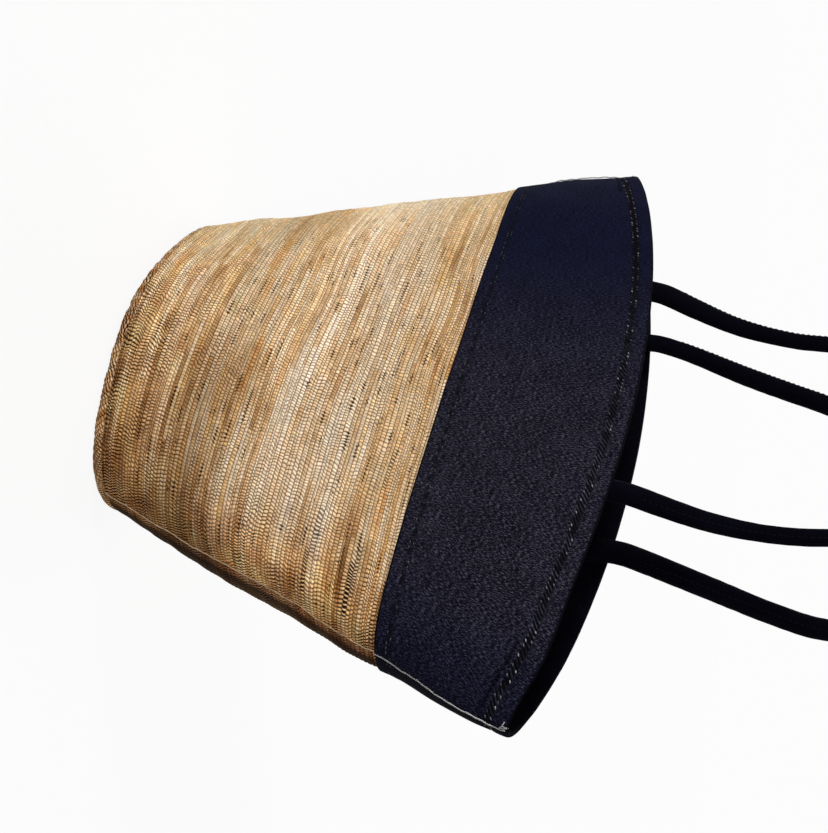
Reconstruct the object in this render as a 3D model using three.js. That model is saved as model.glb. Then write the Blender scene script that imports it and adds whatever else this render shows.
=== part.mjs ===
// Banana fibre bag: a fan-shaped bag of woven banana-fibre cloth on an oval base, with a
// navy cotton yoke round an open lens-shaped mouth and two tubular cotton handles.
// Millimetres, +Z up, -Y is the front, +X is the bag's right side. The origin is the
// middle of the base's underside.
import * as THREE from "three";

// Outline of the bag, on the outer face of the fibre cloth
const baseWidth = 232;
const baseDepth = 131;
const rimWidth = 468;
const rimDepth = 68;
const sideHeight = 270;
const rimRise = 34;
const sideBow = 2;

// The base panel turns up round a corner to a seam with the walls, and is upright for a
// short way below that seam
const seamHeight = 8;
const seamUpright = 0.3;

// The yoke's lower edge, at the side seams and how much higher in the middle
const yokeEdgeHeight = 194;
const yokeEdgeRise = 4;
const yokeLap = 9;

// Thickness of each cloth and board
const fibreCloth = 1.8;
const yokeCloth = 0.9;
const liningCloth = 0.8;
const boardThickness = 2.5;
const boardMargin = 2.5;

// Least room between neighbouring pieces
const clearance = 0.3;
const sideSeamGap = 0.4;

// Binding tape over the seam allowances inside each side seam
const bindingWidth = 9;
const bindingThickness = 1.6;

// Handles: the tube, the legs up to the arch, and the sewn ends inside the mouth
const handleDiameter = 10.8;
const handleCloth = 1.2;
const frontFootHalfSpan = 86;
const backFootHalfSpan = 89.8;
const legHeight = 113;
const archRise = 82;
const pivotStandoff = 0.9;
const footGap = 0.5;
const endWidth = 16;
const endThickness = 4;
const endLength = 42;
const endTaper = 18;
const endSquareness = 0.6;

// Facets
const wallColumns = 24;
const ovalSides = 2 * wallColumns;
const fibreRows = 8;
const yokeRows = 5;
const liningRows = 7;
const bindingRows = 10;
const endRows = 7;
const cornerSteps = 5;
const tubeSides = 10;
const cordSides = 8;
const tubeSteps = 36;
const endSteps = 4;
const archSteps = 6;

// The section of each half of the bag is x = w cos(t), y = d sin(t)^n. A power n above 1
// draws the wall in towards the side seam, and one below 1 makes it square.
const ovalPower = 1;
const front = { name: "front", sign: -1, midPower: 0.72, rimPower: 1.2 };
const back = { name: "back", sign: 1, midPower: 0.55, rimPower: 0.78 };

// Each handle: half the distance between its feet, and the places along a leg and at the
// arch's foot. Each place is how far the leg has come inwards to the middle, how far back
// it leans and how far up it is, all as shares of the leg's height.
const handles = [
  {
    half: front,
    footHalfSpan: frontFootHalfSpan,
    leg: [
      [0, 0, 0],
      [0.014, 0.085, 0.19],
      [0.027, 0.173, 0.44],
      [0.042, 0.216, 0.74],
      [0.062, 0.207, 1],
    ],
    archLean: -0.03,
  },
  {
    half: back,
    footHalfSpan: backFootHalfSpan,
    leg: [
      [0, 0, 0],
      [-0.007, 0.071, 0.2],
      [-0.012, 0.196, 0.5],
      [-0.021, 0.299, 0.77],
      [-0.015, 0.373, 1],
    ],
    archLean: 0.24,
  },
];

const fibreFinish = new THREE.MeshStandardMaterial({ color: 0xb98f56, roughness: 0.8, metalness: 0 });
const yokeFinish = new THREE.MeshStandardMaterial({ color: 0x141628, roughness: 0.85, metalness: 0 });
const liningFinish = new THREE.MeshStandardMaterial({ color: 0x10111c, roughness: 0.9, metalness: 0 });
const bindingFinish = new THREE.MeshStandardMaterial({ color: 0x15151c, roughness: 0.85, metalness: 0 });
const boardFinish = new THREE.MeshStandardMaterial({ color: 0x8a7355, roughness: 0.95, metalness: 0 });
const handleFinish = new THREE.MeshStandardMaterial({ color: 0x0b0b16, roughness: 0.8, metalness: 0 });
const cordFinish = new THREE.MeshStandardMaterial({ color: 0xd9d2c0, roughness: 0.95, metalness: 0 });

const { lerp, clamp } = THREE.MathUtils;

// Insets of the cloth layers, measured inwards from the fibre cloth's outer face
const yokeInset = -clearance - yokeCloth;
const facingInset = fibreCloth + clearance;
const liningInset = facingInset + 2 * clearance;

// Heights of the layers on the base
const cornerRadius = seamHeight - clearance / 2 - seamUpright;
const boardBottom = fibreCloth + clearance;
const baseLiningBottom = boardBottom + boardThickness + clearance;
const wallLiningBottom = baseLiningBottom + liningCloth + clearance;

const handleRadius = handleDiameter / 2;
const boreRadius = handleRadius - handleCloth;
const cordRadius = boreRadius - clearance;
const mouthRadius = boreRadius / 2;
const lipRadius = mouthRadius + handleCloth;
const endReach = Math.sqrt(handleRadius ** 2 - lipRadius ** 2);
const pivotAboveRim = handleRadius + pivotStandoff;

const rimHeight = (t) => sideHeight + rimRise * Math.sin(t) ** 2;
const yokeEdge = (t) => yokeEdgeHeight + yokeEdgeRise * Math.sin(t) ** 2;
const fibreTop = (t) => yokeEdge(t) + yokeLap;

// How far up the wall a height lies: 0 at the base seam, 1 at the rim's side corners
const riseAt = (z) => (z - seamHeight) / (sideHeight - seamHeight);
const swellAt = (z) => 4 * clamp(riseAt(z), 0, 1) * (1 - clamp(riseAt(z), 0, 1));
const halfWidthAt = (z) => lerp(baseWidth / 2, rimWidth / 2, riseAt(z)) + sideBow * swellAt(z);
const halfDepthAt = (z) => lerp(baseDepth / 2, rimDepth / 2, riseAt(z));

function powerAt(half, z) {
  const ends = lerp(ovalPower, half.rimPower, riseAt(z));
  const middle = (ovalPower + half.rimPower) / 2;
  return ends + (half.midPower - middle) * swellAt(z);
}

// A point on one half of the bag, at an inset from the fibre cloth's outer face
function wallPoint(half, t, z, inset) {
  const depth = (halfDepthAt(z) - inset) * Math.sin(t) ** powerAt(half, z);
  return [
    (halfWidthAt(z) - inset) * Math.cos(t),
    half.sign * (sideSeamGap / 2 + depth),
    z,
  ];
}

// The wall's depth at a distance x from the middle
function wallDepth(half, x, z, inset) {
  const t = Math.acos(clamp(x / (halfWidthAt(z) - inset), -1, 1));
  return wallPoint(half, t, z, inset)[1];
}

function signedVolume(points, faces) {
  const [a, b, c] = [new THREE.Vector3(), new THREE.Vector3(), new THREE.Vector3()];
  let sum = 0;
  for (const [i, j, k] of faces) {
    a.fromArray(points[i]);
    b.fromArray(points[j]);
    c.fromArray(points[k]);
    sum += a.dot(b.cross(c));
  }
  return sum / 6;
}

// A closed body from points and triangles, with its faces turned outwards
function solid(points, faces) {
  const outward = signedVolume(points, faces) > 0;
  const turned = outward ? faces : faces.map(([i, j, k]) => [i, k, j]);
  const geometry = new THREE.BufferGeometry();
  geometry.setAttribute("position", new THREE.Float32BufferAttribute(points.flat(), 3));
  geometry.setIndex(turned.flat());
  geometry.computeVertexNormals();
  return geometry;
}

// The faces between neighbouring rings of a list, and between the last and the first one
// where the list is closed
function ringFaces(rings, sides, closed) {
  const faces = [];
  const spans = closed ? rings : rings - 1;
  for (let r = 0; r < spans; r++) {
    for (let s = 0; s < sides; s++) {
      const next = ((r + 1) % rings) * sides;
      const [a, b] = [r * sides + s, r * sides + ((s + 1) % sides)];
      const [c, d] = [next + s, next + ((s + 1) % sides)];
      faces.push([a, b, d], [a, d, c]);
    }
  }
  return faces;
}

// Both ends of a stack of convex rings
function capFaces(rings, sides) {
  const faces = [];
  const last = (rings - 1) * sides;
  for (let s = 1; s < sides - 1; s++) {
    faces.push([0, s + 1, s], [last, last + s, last + s + 1]);
  }
  return faces;
}

function loft(rings) {
  const sides = rings[0].length;
  return solid(rings.flat(), [...ringFaces(rings.length, sides, false), ...capFaces(rings.length, sides)]);
}

// A sheet of cloth that lies on one half of the bag. levels(t) gives its heights from the
// lower edge to the upper one, and inset(z, t) how deep its outer face lies.
function clothSheet(half, thickness, levels, inset) {
  const rings = [];
  for (let column = 0; column <= wallColumns; column++) {
    const t = (Math.PI * column) / wallColumns;
    const outer = levels(t).map((z) => wallPoint(half, t, z, inset(z, t)));
    const inner = levels(t).map((z) => wallPoint(half, t, z, inset(z, t) + thickness));
    rings.push([...outer, ...inner.reverse()]);
  }
  const sides = rings[0].length;
  return solid(rings.flat(), [...ringFaces(rings.length, sides, false), ...sheetEndFaces(rings.length, sides)]);
}

// The two side edges of a sheet: each is a strip between the outer and the inner face
function sheetEndFaces(rings, sides) {
  const faces = [];
  const last = (rings - 1) * sides;
  for (let row = 0; row < sides / 2 - 1; row++) {
    const [a, b] = [row, row + 1];
    const [c, d] = [sides - 1 - row, sides - 2 - row];
    faces.push([a, d, b], [a, c, d]);
    faces.push([last + a, last + b, last + d], [last + a, last + d, last + c]);
  }
  return faces;
}

function evenLevels(low, high, rows) {
  return Array.from({ length: rows + 1 }, (_, row) => lerp(low, high, row / rows));
}

// An oval body: the profile is a list of [inset from the base outline, height], and it
// starts and ends on the upright axis
function ovalSolid(profile) {
  const points = [[0, 0, profile[0][1]], [0, 0, profile.at(-1)[1]]];
  const faces = [];
  for (const [inset, z] of profile) {
    for (let s = 0; s < ovalSides; s++) {
      const t = (2 * Math.PI * s) / ovalSides;
      points.push([(baseWidth / 2 - inset) * Math.cos(t), (baseDepth / 2 - inset) * Math.sin(t), z]);
    }
  }
  for (const face of ringFaces(profile.length, ovalSides, false)) faces.push(face.map((i) => i + 2));
  const lastRing = 2 + (profile.length - 1) * ovalSides;
  for (let s = 0; s < ovalSides; s++) {
    const next = (s + 1) % ovalSides;
    faces.push([0, 2 + next, 2 + s], [1, lastRing + s, lastRing + next]);
  }
  return solid(points, faces);
}

// Points of the base panel's turned-up corner, on a face at a depth below the outside
function cornerProfile(depth, topHeight) {
  const radius = cornerRadius - depth;
  const points = [];
  for (let step = 0; step <= cornerSteps; step++) {
    const turn = (Math.PI / 2) * (step / cornerSteps);
    points.push([cornerRadius - radius * Math.sin(turn), cornerRadius - radius * Math.cos(turn)]);
  }
  points.push([depth, topHeight]);
  return points;
}

// How far the corner's inner face lies inside the base outline at a height
function cornerInset(z) {
  const below = Math.max(cornerRadius - z, 0);
  return cornerRadius - Math.sqrt((cornerRadius - fibreCloth) ** 2 - below ** 2);
}

// The wall lining keeps clear of the corner as well as of the wall
function liningInsetAt(z) {
  return Math.max(liningInset, cornerInset(z) + 2 * clearance);
}

function basePanel() {
  const topHeight = seamHeight - clearance / 2;
  const outside = cornerProfile(0, topHeight);
  const inside = cornerProfile(fibreCloth, topHeight).reverse();
  return ovalSolid([...outside, ...inside]);
}

function ovalPlate(bottom, thickness, inset) {
  return ovalSolid([[inset, bottom], [inset, bottom + thickness]]);
}

function baseLining() {
  const inset = cornerInset(baseLiningBottom) + clearance;
  return ovalPlate(baseLiningBottom, liningCloth, inset);
}

function fibrePanel(half) {
  const low = seamHeight + clearance / 2;
  const levels = (t) => [...evenLevels(low, yokeEdge(t), fibreRows), fibreTop(t)];
  return clothSheet(half, fibreCloth, levels, () => 0);
}

const yokeLevels = (t) => [yokeEdge(t), ...evenLevels(fibreTop(t), rimHeight(t), yokeRows)];

function yoke(half) {
  return clothSheet(half, yokeCloth, yokeLevels, () => yokeInset);
}

// The facing lies inside the fibre cloth at the lap and comes up to the yoke at the rim
function facingInsetAt(z, t) {
  const above = clamp((z - fibreTop(t)) / (rimHeight(t) - fibreTop(t)), 0, 1);
  return lerp(facingInset, 0, above);
}

function yokeFacing(half) {
  return clothSheet(half, yokeCloth, yokeLevels, facingInsetAt);
}

function wallLining(half) {
  const top = (t) => yokeEdge(t) - clearance;
  const levels = (t) => [wallLiningBottom, ...evenLevels(seamHeight, top(t), liningRows)];
  return clothSheet(half, liningCloth, levels, liningInsetAt);
}

// A tape that stands inwards from a side seam and follows it up to the rim
function seamBinding(sign) {
  const rings = evenLevels(wallLiningBottom, sideHeight - clearance, bindingRows).map((z) => {
    const inset = liningInsetAt(z) + liningCloth + clearance;
    const outer = sign * (halfWidthAt(z) - inset);
    const inner = outer - sign * bindingWidth;
    const reach = bindingThickness / 2;
    return [[outer, -reach, z], [inner, -reach, z], [inner, reach, z], [outer, reach, z]];
  });
  return loft(rings);
}

// The point that a handle's leg turns about: just above the rim, inside the yoke facing
function pivotPoint({ half, footHalfSpan }) {
  const rim = rimHeight(Math.acos(footHalfSpan / (rimWidth / 2)));
  const facing = half.sign * wallDepth(half, footHalfSpan, rim, yokeCloth);
  const depth = facing - footGap - handleRadius;
  return new THREE.Vector3(footHalfSpan, half.sign * depth, rim + pivotAboveRim);
}

// The centre line of a handle, from its right foot over the arch to its left foot. It
// starts below the point where the leg turns, so that the tube's round end is centred on
// that point.
function handleCurve(handle) {
  const pivot = pivotPoint(handle);
  const place = ([inwards, backwards, up]) =>
    new THREE.Vector3(-inwards, backwards, up).multiplyScalar(legHeight).add(pivot);
  const right = handle.leg.map(place);
  const archFoot = right.at(-1);
  const start = new THREE.Vector3().subVectors(right[0], right[1]).setLength(endReach);
  right.unshift(start.add(right[0]));
  const left = right.map((p) => new THREE.Vector3(-p.x, p.y, p.z)).reverse();
  const over = [];
  for (let step = 1; step < archSteps; step++) {
    const turn = (Math.PI * step) / archSteps;
    const rise = archRise * Math.sin(turn);
    const lean = handle.archLean * rise;
    over.push(new THREE.Vector3(archFoot.x * Math.cos(turn), archFoot.y + lean, archFoot.z + rise));
  }
  return new THREE.CatmullRomCurve3([...right, ...over, ...left], false, "centripetal");
}

// Radius at a distance from the tip of a round end, which is centred at the leg's turning
// point, and not below the opening's radius
function roundedEnd(radius, distance, opening) {
  const inside = clamp(endReach - distance, 0, radius);
  return Math.max(opening, Math.sqrt(radius ** 2 - inside ** 2));
}

// Places along a curve, closer together in the rounded ends
function tubeStations(length) {
  const ends = evenLevels(0, endReach, endSteps);
  const middle = evenLevels(endReach, length - endReach, tubeSteps).slice(1, -1);
  return [...ends, ...middle, ...ends.map((d) => length - d).reverse()];
}

// A ring of points round each place on a curve, with a frame carried along without twist
function tubeRings(curve, stations, radiusAt, sides) {
  const length = curve.getLength();
  let normal = new THREE.Vector3(0, 1, 0);
  return stations.map((distance) => {
    const share = clamp(distance / length, 0, 1);
    const centre = curve.getPointAt(share);
    const tangent = curve.getTangentAt(share);
    normal = normal.clone().addScaledVector(tangent, -normal.dot(tangent)).normalize();
    const side = new THREE.Vector3().crossVectors(tangent, normal);
    const ring = [];
    for (let s = 0; s < sides; s++) {
      const turn = (2 * Math.PI * s) / sides;
      const point = centre.clone();
      point.addScaledVector(normal, radiusAt(distance) * Math.cos(turn));
      point.addScaledVector(side, radiusAt(distance) * Math.sin(turn));
      ring.push(point.toArray());
    }
    return ring;
  });
}

// The handle's cloth tube: rounded where it turns at the mouth, with a bore for the cord
function handleCover(handle) {
  const curve = handleCurve(handle);
  const length = curve.getLength();
  const stations = tubeStations(length);
  const fromEnd = (d) => Math.min(d, length - d);
  const outside = (d) => roundedEnd(handleRadius, fromEnd(d), lipRadius);
  const bore = (d) => roundedEnd(boreRadius, fromEnd(d), mouthRadius);
  const outer = tubeRings(curve, stations, outside, tubeSides);
  const inner = tubeRings(curve, stations, bore, tubeSides).reverse();
  return solid([...outer, ...inner].flat(), ringFaces(2 * stations.length, tubeSides, true));
}

// The cord filler runs inside the tube between the round ends
function handleCord(handle) {
  const curve = handleCurve(handle);
  const length = curve.getLength();
  const stations = evenLevels(endReach, length - endReach, tubeSteps);
  return loft(tubeRings(curve, stations, () => cordRadius, cordSides));
}

// An oval ring at one height. A power under 1 squares its ends.
function ovalRing(x, y, z, halfWide, halfThick, power) {
  const bend = (value) => Math.sign(value) * Math.abs(value) ** power;
  const ring = [];
  for (let s = 0; s < tubeSides; s++) {
    const turn = (2 * Math.PI * s) / tubeSides;
    ring.push([x + halfWide * bend(Math.cos(turn)), y + halfThick * bend(Math.sin(turn)), z]);
  }
  return ring;
}

// The sewn end of a handle: flat against the yoke facing at the bottom, and round at the
// top, where it stands under the point that the leg turns about
function handleEnd(handle, sign) {
  const { half, footHalfSpan: x } = handle;
  const pivot = pivotPoint(handle);
  const top = pivot.z - handleRadius - clearance;
  const rings = evenLevels(top - endLength, top, endRows).map((z) => {
    const round = clamp(1 - (top - z) / endTaper, 0, 1);
    const halfThick = lerp(endThickness / 2, handleRadius, round);
    const halfWide = lerp(endWidth / 2, handleRadius, round);
    const t = Math.acos(x / halfWidthAt(z));
    const facing = half.sign * wallDepth(half, x, z, facingInsetAt(z, t) + yokeCloth);
    const seated = facing - clearance - halfThick;
    const depth = Math.min(seated, lerp(seated, Math.abs(pivot.y), round));
    const power = lerp(endSquareness, 1, round);
    return ovalRing(sign * x, half.sign * depth, z, halfWide, halfThick, power);
  });
  return loft(rings);
}

const group = new THREE.Group();

function add(name, geometry, finish) {
  const mesh = new THREE.Mesh(geometry, finish);
  mesh.name = name;
  group.add(mesh);
}

for (const half of [front, back]) {
  add(`${half.name}_fibre_panel`, fibrePanel(half), fibreFinish);
  add(`${half.name}_yoke`, yoke(half), yokeFinish);
  add(`${half.name}_yoke_facing`, yokeFacing(half), yokeFinish);
  add(`${half.name}_lining`, wallLining(half), liningFinish);
}
add("fibre_base", basePanel(), fibreFinish);
add("base_board", ovalPlate(boardBottom, boardThickness, cornerRadius + boardMargin), boardFinish);
add("base_lining", baseLining(), liningFinish);
add("right_seam_binding", seamBinding(1), bindingFinish);
add("left_seam_binding", seamBinding(-1), bindingFinish);
for (const handle of handles) {
  add(`${handle.half.name}_handle_cover`, handleCover(handle), handleFinish);
  add(`${handle.half.name}_handle_cord`, handleCord(handle), cordFinish);
  add(`${handle.half.name}_handle_right_end`, handleEnd(handle, 1), handleFinish);
  add(`${handle.half.name}_handle_left_end`, handleEnd(handle, -1), handleFinish);
}

export default group;
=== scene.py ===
import math

import bpy
import numpy as np
from mathutils import Matrix, Vector


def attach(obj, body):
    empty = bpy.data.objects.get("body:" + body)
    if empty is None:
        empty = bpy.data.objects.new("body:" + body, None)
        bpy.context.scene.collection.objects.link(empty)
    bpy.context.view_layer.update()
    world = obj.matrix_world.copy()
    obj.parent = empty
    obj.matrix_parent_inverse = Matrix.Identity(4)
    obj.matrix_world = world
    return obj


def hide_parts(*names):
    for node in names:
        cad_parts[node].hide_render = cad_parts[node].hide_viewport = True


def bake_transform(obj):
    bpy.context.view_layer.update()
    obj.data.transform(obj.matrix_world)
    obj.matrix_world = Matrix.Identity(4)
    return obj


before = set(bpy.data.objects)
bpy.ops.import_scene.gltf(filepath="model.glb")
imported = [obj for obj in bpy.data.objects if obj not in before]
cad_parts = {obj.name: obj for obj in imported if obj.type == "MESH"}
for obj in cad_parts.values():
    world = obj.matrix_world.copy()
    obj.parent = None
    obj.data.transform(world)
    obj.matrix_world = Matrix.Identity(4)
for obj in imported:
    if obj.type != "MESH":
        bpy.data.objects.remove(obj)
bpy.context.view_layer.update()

# Sizes shared with the solids
BASE_WIDTH = 232.0
BASE_DEPTH = 131.0
RIM_WIDTH = 468.0
RIM_DEPTH = 68.0
SIDE_HEIGHT = 270.0
RIM_RISE = 34.0
SIDE_BOW = 2.0
SEAM_HEIGHT = 8.0
SEAM_UPRIGHT = 0.3
YOKE_EDGE_HEIGHT = 194.0
YOKE_EDGE_RISE = 4.0
YOKE_LAP = 9.0
FIBRE_CLOTH = 1.8
YOKE_CLOTH = 0.9
LINING_CLOTH = 0.8
BOARD_THICKNESS = 2.5
CLEARANCE = 0.3
SIDE_GAP = 0.4
BINDING_WIDTH = 9.0
BINDING_THICKNESS = 1.6
HANDLE_RADIUS = 5.4
CORD_RADIUS = 3.7
LEG_HEIGHT = 113.0
ARCH_RISE = 82.0
PIVOT_STANDOFF = 0.9
FOOT_GAP = 0.5
END_WIDTH = 16.0
END_THICKNESS = 4.0
END_LENGTH = 42.0
END_TAPER = 18.0

SEAM_TOP = SEAM_HEIGHT - CLEARANCE / 2
CORNER_RADIUS = SEAM_TOP - SEAM_UPRIGHT
YOKE_INSET = -CLEARANCE - YOKE_CLOTH
FACING_INSET = FIBRE_CLOTH + CLEARANCE
LINING_INSET = FACING_INSET + 2 * CLEARANCE
BASE_LINING_BOTTOM = FIBRE_CLOTH + CLEARANCE + BOARD_THICKNESS + CLEARANCE
WALL_LINING_BOTTOM = BASE_LINING_BOTTOM + LINING_CLOTH + CLEARANCE

FRONT = {"name": "front", "sign": -1.0, "mid_power": 0.72, "rim_power": 1.2, "seed": 11}
BACK = {"name": "back", "sign": 1.0, "mid_power": 0.55, "rim_power": 0.78, "seed": 47}

HANDLES = [
    {
        "half": FRONT,
        "foot": 86.0,
        "leg": [
            (0, 0, 0), (0.014, 0.085, 0.19), (0.027, 0.173, 0.44),
            (0.042, 0.216, 0.74), (0.062, 0.207, 1),
        ],
        "arch_lean": -0.03,
        "foot_shift": (0.8, 0.3),
        "foot_wide": (6.7, 7.8),
        "round": 4.9,
        "back_shift": 1.5,
    },
    {
        "half": BACK,
        "foot": 89.8,
        "leg": [
            (0, 0, 0), (-0.007, 0.071, 0.2), (-0.012, 0.196, 0.5),
            (-0.021, 0.299, 0.77), (-0.015, 0.373, 1),
        ],
        "arch_lean": 0.24,
        "foot_shift": (2.2, 2.0),
        "foot_wide": (7.6, 5.6),
        "round": 6.2,
        "back_shift": 2.2,
    },
]

# The weave: height of one rib, how far ribs stand proud, and lengths along them
RIB_PITCH = 2.2
RIB_STEPS = 6
RIB_SHARES = (0.62, 0.75, 0.92, 1.0, 1.08, 1.18, 1.34)
RIB_HEIGHT = 0.6
RIB_ROUNDNESS = 0.7
BEAD_LENGTH = 2.0
BEAD_GROWTH = 0.0025
STRAND_LENGTH = 80.0
BASE_RIB_PITCH = 3.0
BASE_RIB_START = 40.25
WALL_COLUMNS = 171
BASE_COLUMNS = 1200

# Stitching: heights of the rows below the rim and above the yoke's edge, and steps
RIM_ROWS = (9.0, 12.0)
RIM_STITCH = 2.9
RIM_SLANT = 30.0
EDGE_ROWS = (7.0, 9.0)
EDGE_STITCH = 2.8
STITCH_LENGTH = 1.9


# Numbers


def lerp(a, b, share):
    return a + (b - a) * share


def smooth(low, high, value):
    share = np.clip((value - low) / (high - low), 0.0, 1.0)
    return share * share * (3.0 - 2.0 * share)


def hump(middle, spread, value):
    return np.exp(-(((value - middle) / spread) ** 2))


def ripple(seed, across, up, size, waves=6):
    """Smooth unevenness, mostly within -1 to 1, over places given in millimetres."""
    random = np.random.default_rng(seed)
    total = 0.0
    for _ in range(waves):
        turn = random.uniform(0, 2 * math.pi)
        length = size * random.uniform(0.6, 1.6)
        phase = random.uniform(0, 2 * math.pi)
        place = across * math.cos(turn) + up * math.sin(turn)
        total = total + np.sin(place * 2 * math.pi / length + phase)
    return total / math.sqrt(waves)


def pair(first, second):
    return np.stack(np.broadcast_arrays(first, second), -1)


def unit(vectors):
    return vectors / np.linalg.norm(vectors, axis=1, keepdims=True)


def distances(path):
    """How far along a path each of its points lies."""
    return np.concatenate([[0], np.cumsum(np.linalg.norm(np.diff(path, axis=0), axis=1))])


def sample(places, arc, vectors):
    """Points or directions at places along a path, where arc gives its own distances."""
    return np.stack([np.interp(places, arc, vectors[:, k]) for k in range(3)], -1)


def full_turn(steps):
    return np.linspace(0, 2 * math.pi, steps, endpoint=False)


def ring(first, second, turn):
    """Directions round each place of a path, from two cross directions there."""
    turn = turn[None, :, None]
    return first[:, None] * np.cos(turn) + second[:, None] * np.sin(turn)


# The bag's outline


def rise_at(z):
    return (z - SEAM_HEIGHT) / (SIDE_HEIGHT - SEAM_HEIGHT)


def swell_at(z):
    rise = np.clip(rise_at(z), 0.0, 1.0)
    return 4.0 * rise * (1.0 - rise)


def half_width_at(z):
    return lerp(BASE_WIDTH / 2, RIM_WIDTH / 2, rise_at(z)) + SIDE_BOW * swell_at(z)


def half_depth_at(z):
    return lerp(BASE_DEPTH / 2, RIM_DEPTH / 2, rise_at(z))


def power_at(half, z):
    ends = lerp(1.0, half["rim_power"], rise_at(z))
    middle = (1.0 + half["rim_power"]) / 2
    return ends + (half["mid_power"] - middle) * swell_at(z)


def rim_height(t):
    return SIDE_HEIGHT + RIM_RISE * np.sin(t) ** 2


def yoke_edge(t):
    return YOKE_EDGE_HEIGHT + YOKE_EDGE_RISE * np.sin(t) ** 2


def fibre_top(t):
    return yoke_edge(t) + YOKE_LAP


def section(half, t, z, inset=0.0):
    """The solids' wall: t runs from the right side seam, 0, to the left one, pi."""
    sine = np.clip(np.sin(t), 0.0, 1.0)
    depth = (half_depth_at(z) - inset) * sine ** power_at(half, z)
    x = (half_width_at(z) - inset) * np.cos(t)
    y = half["sign"] * (SIDE_GAP / 2 + depth)
    x, y, z = np.broadcast_arrays(x, y, z)
    return np.stack([x, y, z], -1).astype(float)


def sides_drawn_in(share, rise):
    """How far the left side is drawn in, less where it stands out, and the right side."""
    left = 6.6 * smooth(0.0, 0.26, rise) * (1.0 - 0.35 * smooth(0.2, 0.45, rise))
    left = left * smooth(0.74, 0.62, rise) - 4.5 * hump(0.84, 0.1, rise)
    left = left - 2.4 * (hump(0.1, 0.05, rise) + hump(0.28, 0.05, rise))
    wavy = 1.8 * np.sin((rise - 0.66) * 2 * math.pi / 0.32) * smooth(0.6, 0.72, rise)
    right = 3.0 * hump(0.47, 0.14, rise) + wavy * smooth(1.1, 0.97, rise)
    return smooth(0.3, 0.95, -share) * left - smooth(0.4, 1.0, share) * right


def base_swing(turn, rise, reach):
    """How far the wall bulges out at the front near the base, less where it is drawn in."""
    swing = 5.0 * hump(78.0, 24.0, turn) * smooth(0.42, 0.0, rise)
    pull = lerp(1.4, 4.4, smooth(0.0, 0.05, rise)) * hump(122.0, 17.0, turn)
    return (swing - pull * smooth(0.3, 0.1, rise)) * smooth(0.35, 1.0, reach)


def soften(points):
    """The soft bag's departure from the even outline. It moves all the bag's layers alike,
    by place alone, so that they stay clear of each other."""
    x, y, z = points[..., 0], points[..., 1], points[..., 2]
    rise = np.clip(rise_at(z), 0.0, 1.15)
    share = x / half_width_at(z)
    depth = y / half_depth_at(z)
    turn = np.degrees(np.arctan2(-depth, share))
    angle = np.radians(turn)
    swing = base_swing(turn, rise, np.hypot(share, depth))
    loose = smooth(0.05, 0.35, rise) * smooth(0.0, 0.35, np.abs(depth))
    wave = np.where(y < 0, ripple(3, x, z, 120.0), ripple(5, x, z, 120.0))
    moved = points.copy()
    moved[..., 2] += 3.0 * hump(31.0, 13.0, turn) * smooth(0.75, 1.0, rise)
    moved[..., 0] += sides_drawn_in(share, rise) + swing * np.cos(angle)
    moved[..., 1] += 0.8 * loose * wave - swing * np.sin(angle)
    return moved


def wall(half, t, z, inset=0.0):
    return soften(section(half, t, z, inset))


def even_columns(half, levels, shares):
    """Angles at equal steps along the wall's outline at each height, with the distance
    of each from the middle."""
    dense = 0.5 * (1.0 - np.cos(np.linspace(0, math.pi, 500))) * math.pi
    outline = section(half, dense[None, :], np.asarray(levels)[:, None])
    arcs = np.stack([distances(row) for row in outline])
    angles = np.stack([np.interp(shares * arc[-1], arc, dense) for arc in arcs])
    return angles, (shares[None, :] - 0.5) * arcs[:, -1:]


def outward(half, grid):
    """Directions away from the cloth of a grid of points, rows by columns."""
    normal = np.cross(np.gradient(grid, axis=1), np.gradient(grid, axis=0)) * half["sign"]
    return normal / np.maximum(np.linalg.norm(normal, axis=-1, keepdims=True), 1e-9)


# Meshes


def add_places(mesh, name, places):
    """Cloth coordinates: two numbers for each point of a mesh."""
    corners = np.empty(len(mesh.loops), dtype=np.int32)
    mesh.loops.foreach_get("vertex_index", corners)
    layer = mesh.uv_layers.new(name=name)
    places = np.asarray(places, dtype=np.float32).reshape(-1, 2)
    layer.data.foreach_set("uv", places[corners].ravel())


def make_mesh(name, points, faces, uv, material, body="bag", node=None):
    mesh = bpy.data.meshes.new(name)
    points = np.asarray(points).reshape(-1, 3) * 0.001
    mesh.from_pydata(points.tolist(), [], faces)
    add_places(mesh, "Weave", uv)
    mesh.shade_smooth()
    mesh.materials.append(material)
    piece = bpy.data.objects.new(name, mesh)
    bpy.context.scene.collection.objects.link(piece)
    if body:
        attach(piece, body)
    if node:
        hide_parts(node)
    return piece


def grid_faces(rows, columns, closed_rows=False, closed_columns=False):
    """Quads of a grid of points, numbered row by row."""
    row = np.arange(rows if closed_rows else rows - 1)
    column = np.arange(columns if closed_columns else columns - 1)
    row, column = np.meshgrid(row, column, indexing="ij")
    low, high = row * columns, (row + 1) % rows * columns
    beside = (column + 1) % columns
    corners = [low + column, low + beside, high + beside, high + column]
    return np.stack([c.ravel() for c in corners], -1)


def tube_faces(rings, sides):
    """Faces of a tube whose rings run anticlockwise about its path, with both ends shut."""
    faces = grid_faces(rings, sides, closed_columns=True).tolist()
    faces.append(list(range(sides))[::-1])
    faces.append(list(range((rings - 1) * sides, rings * sides)))
    return faces


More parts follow.
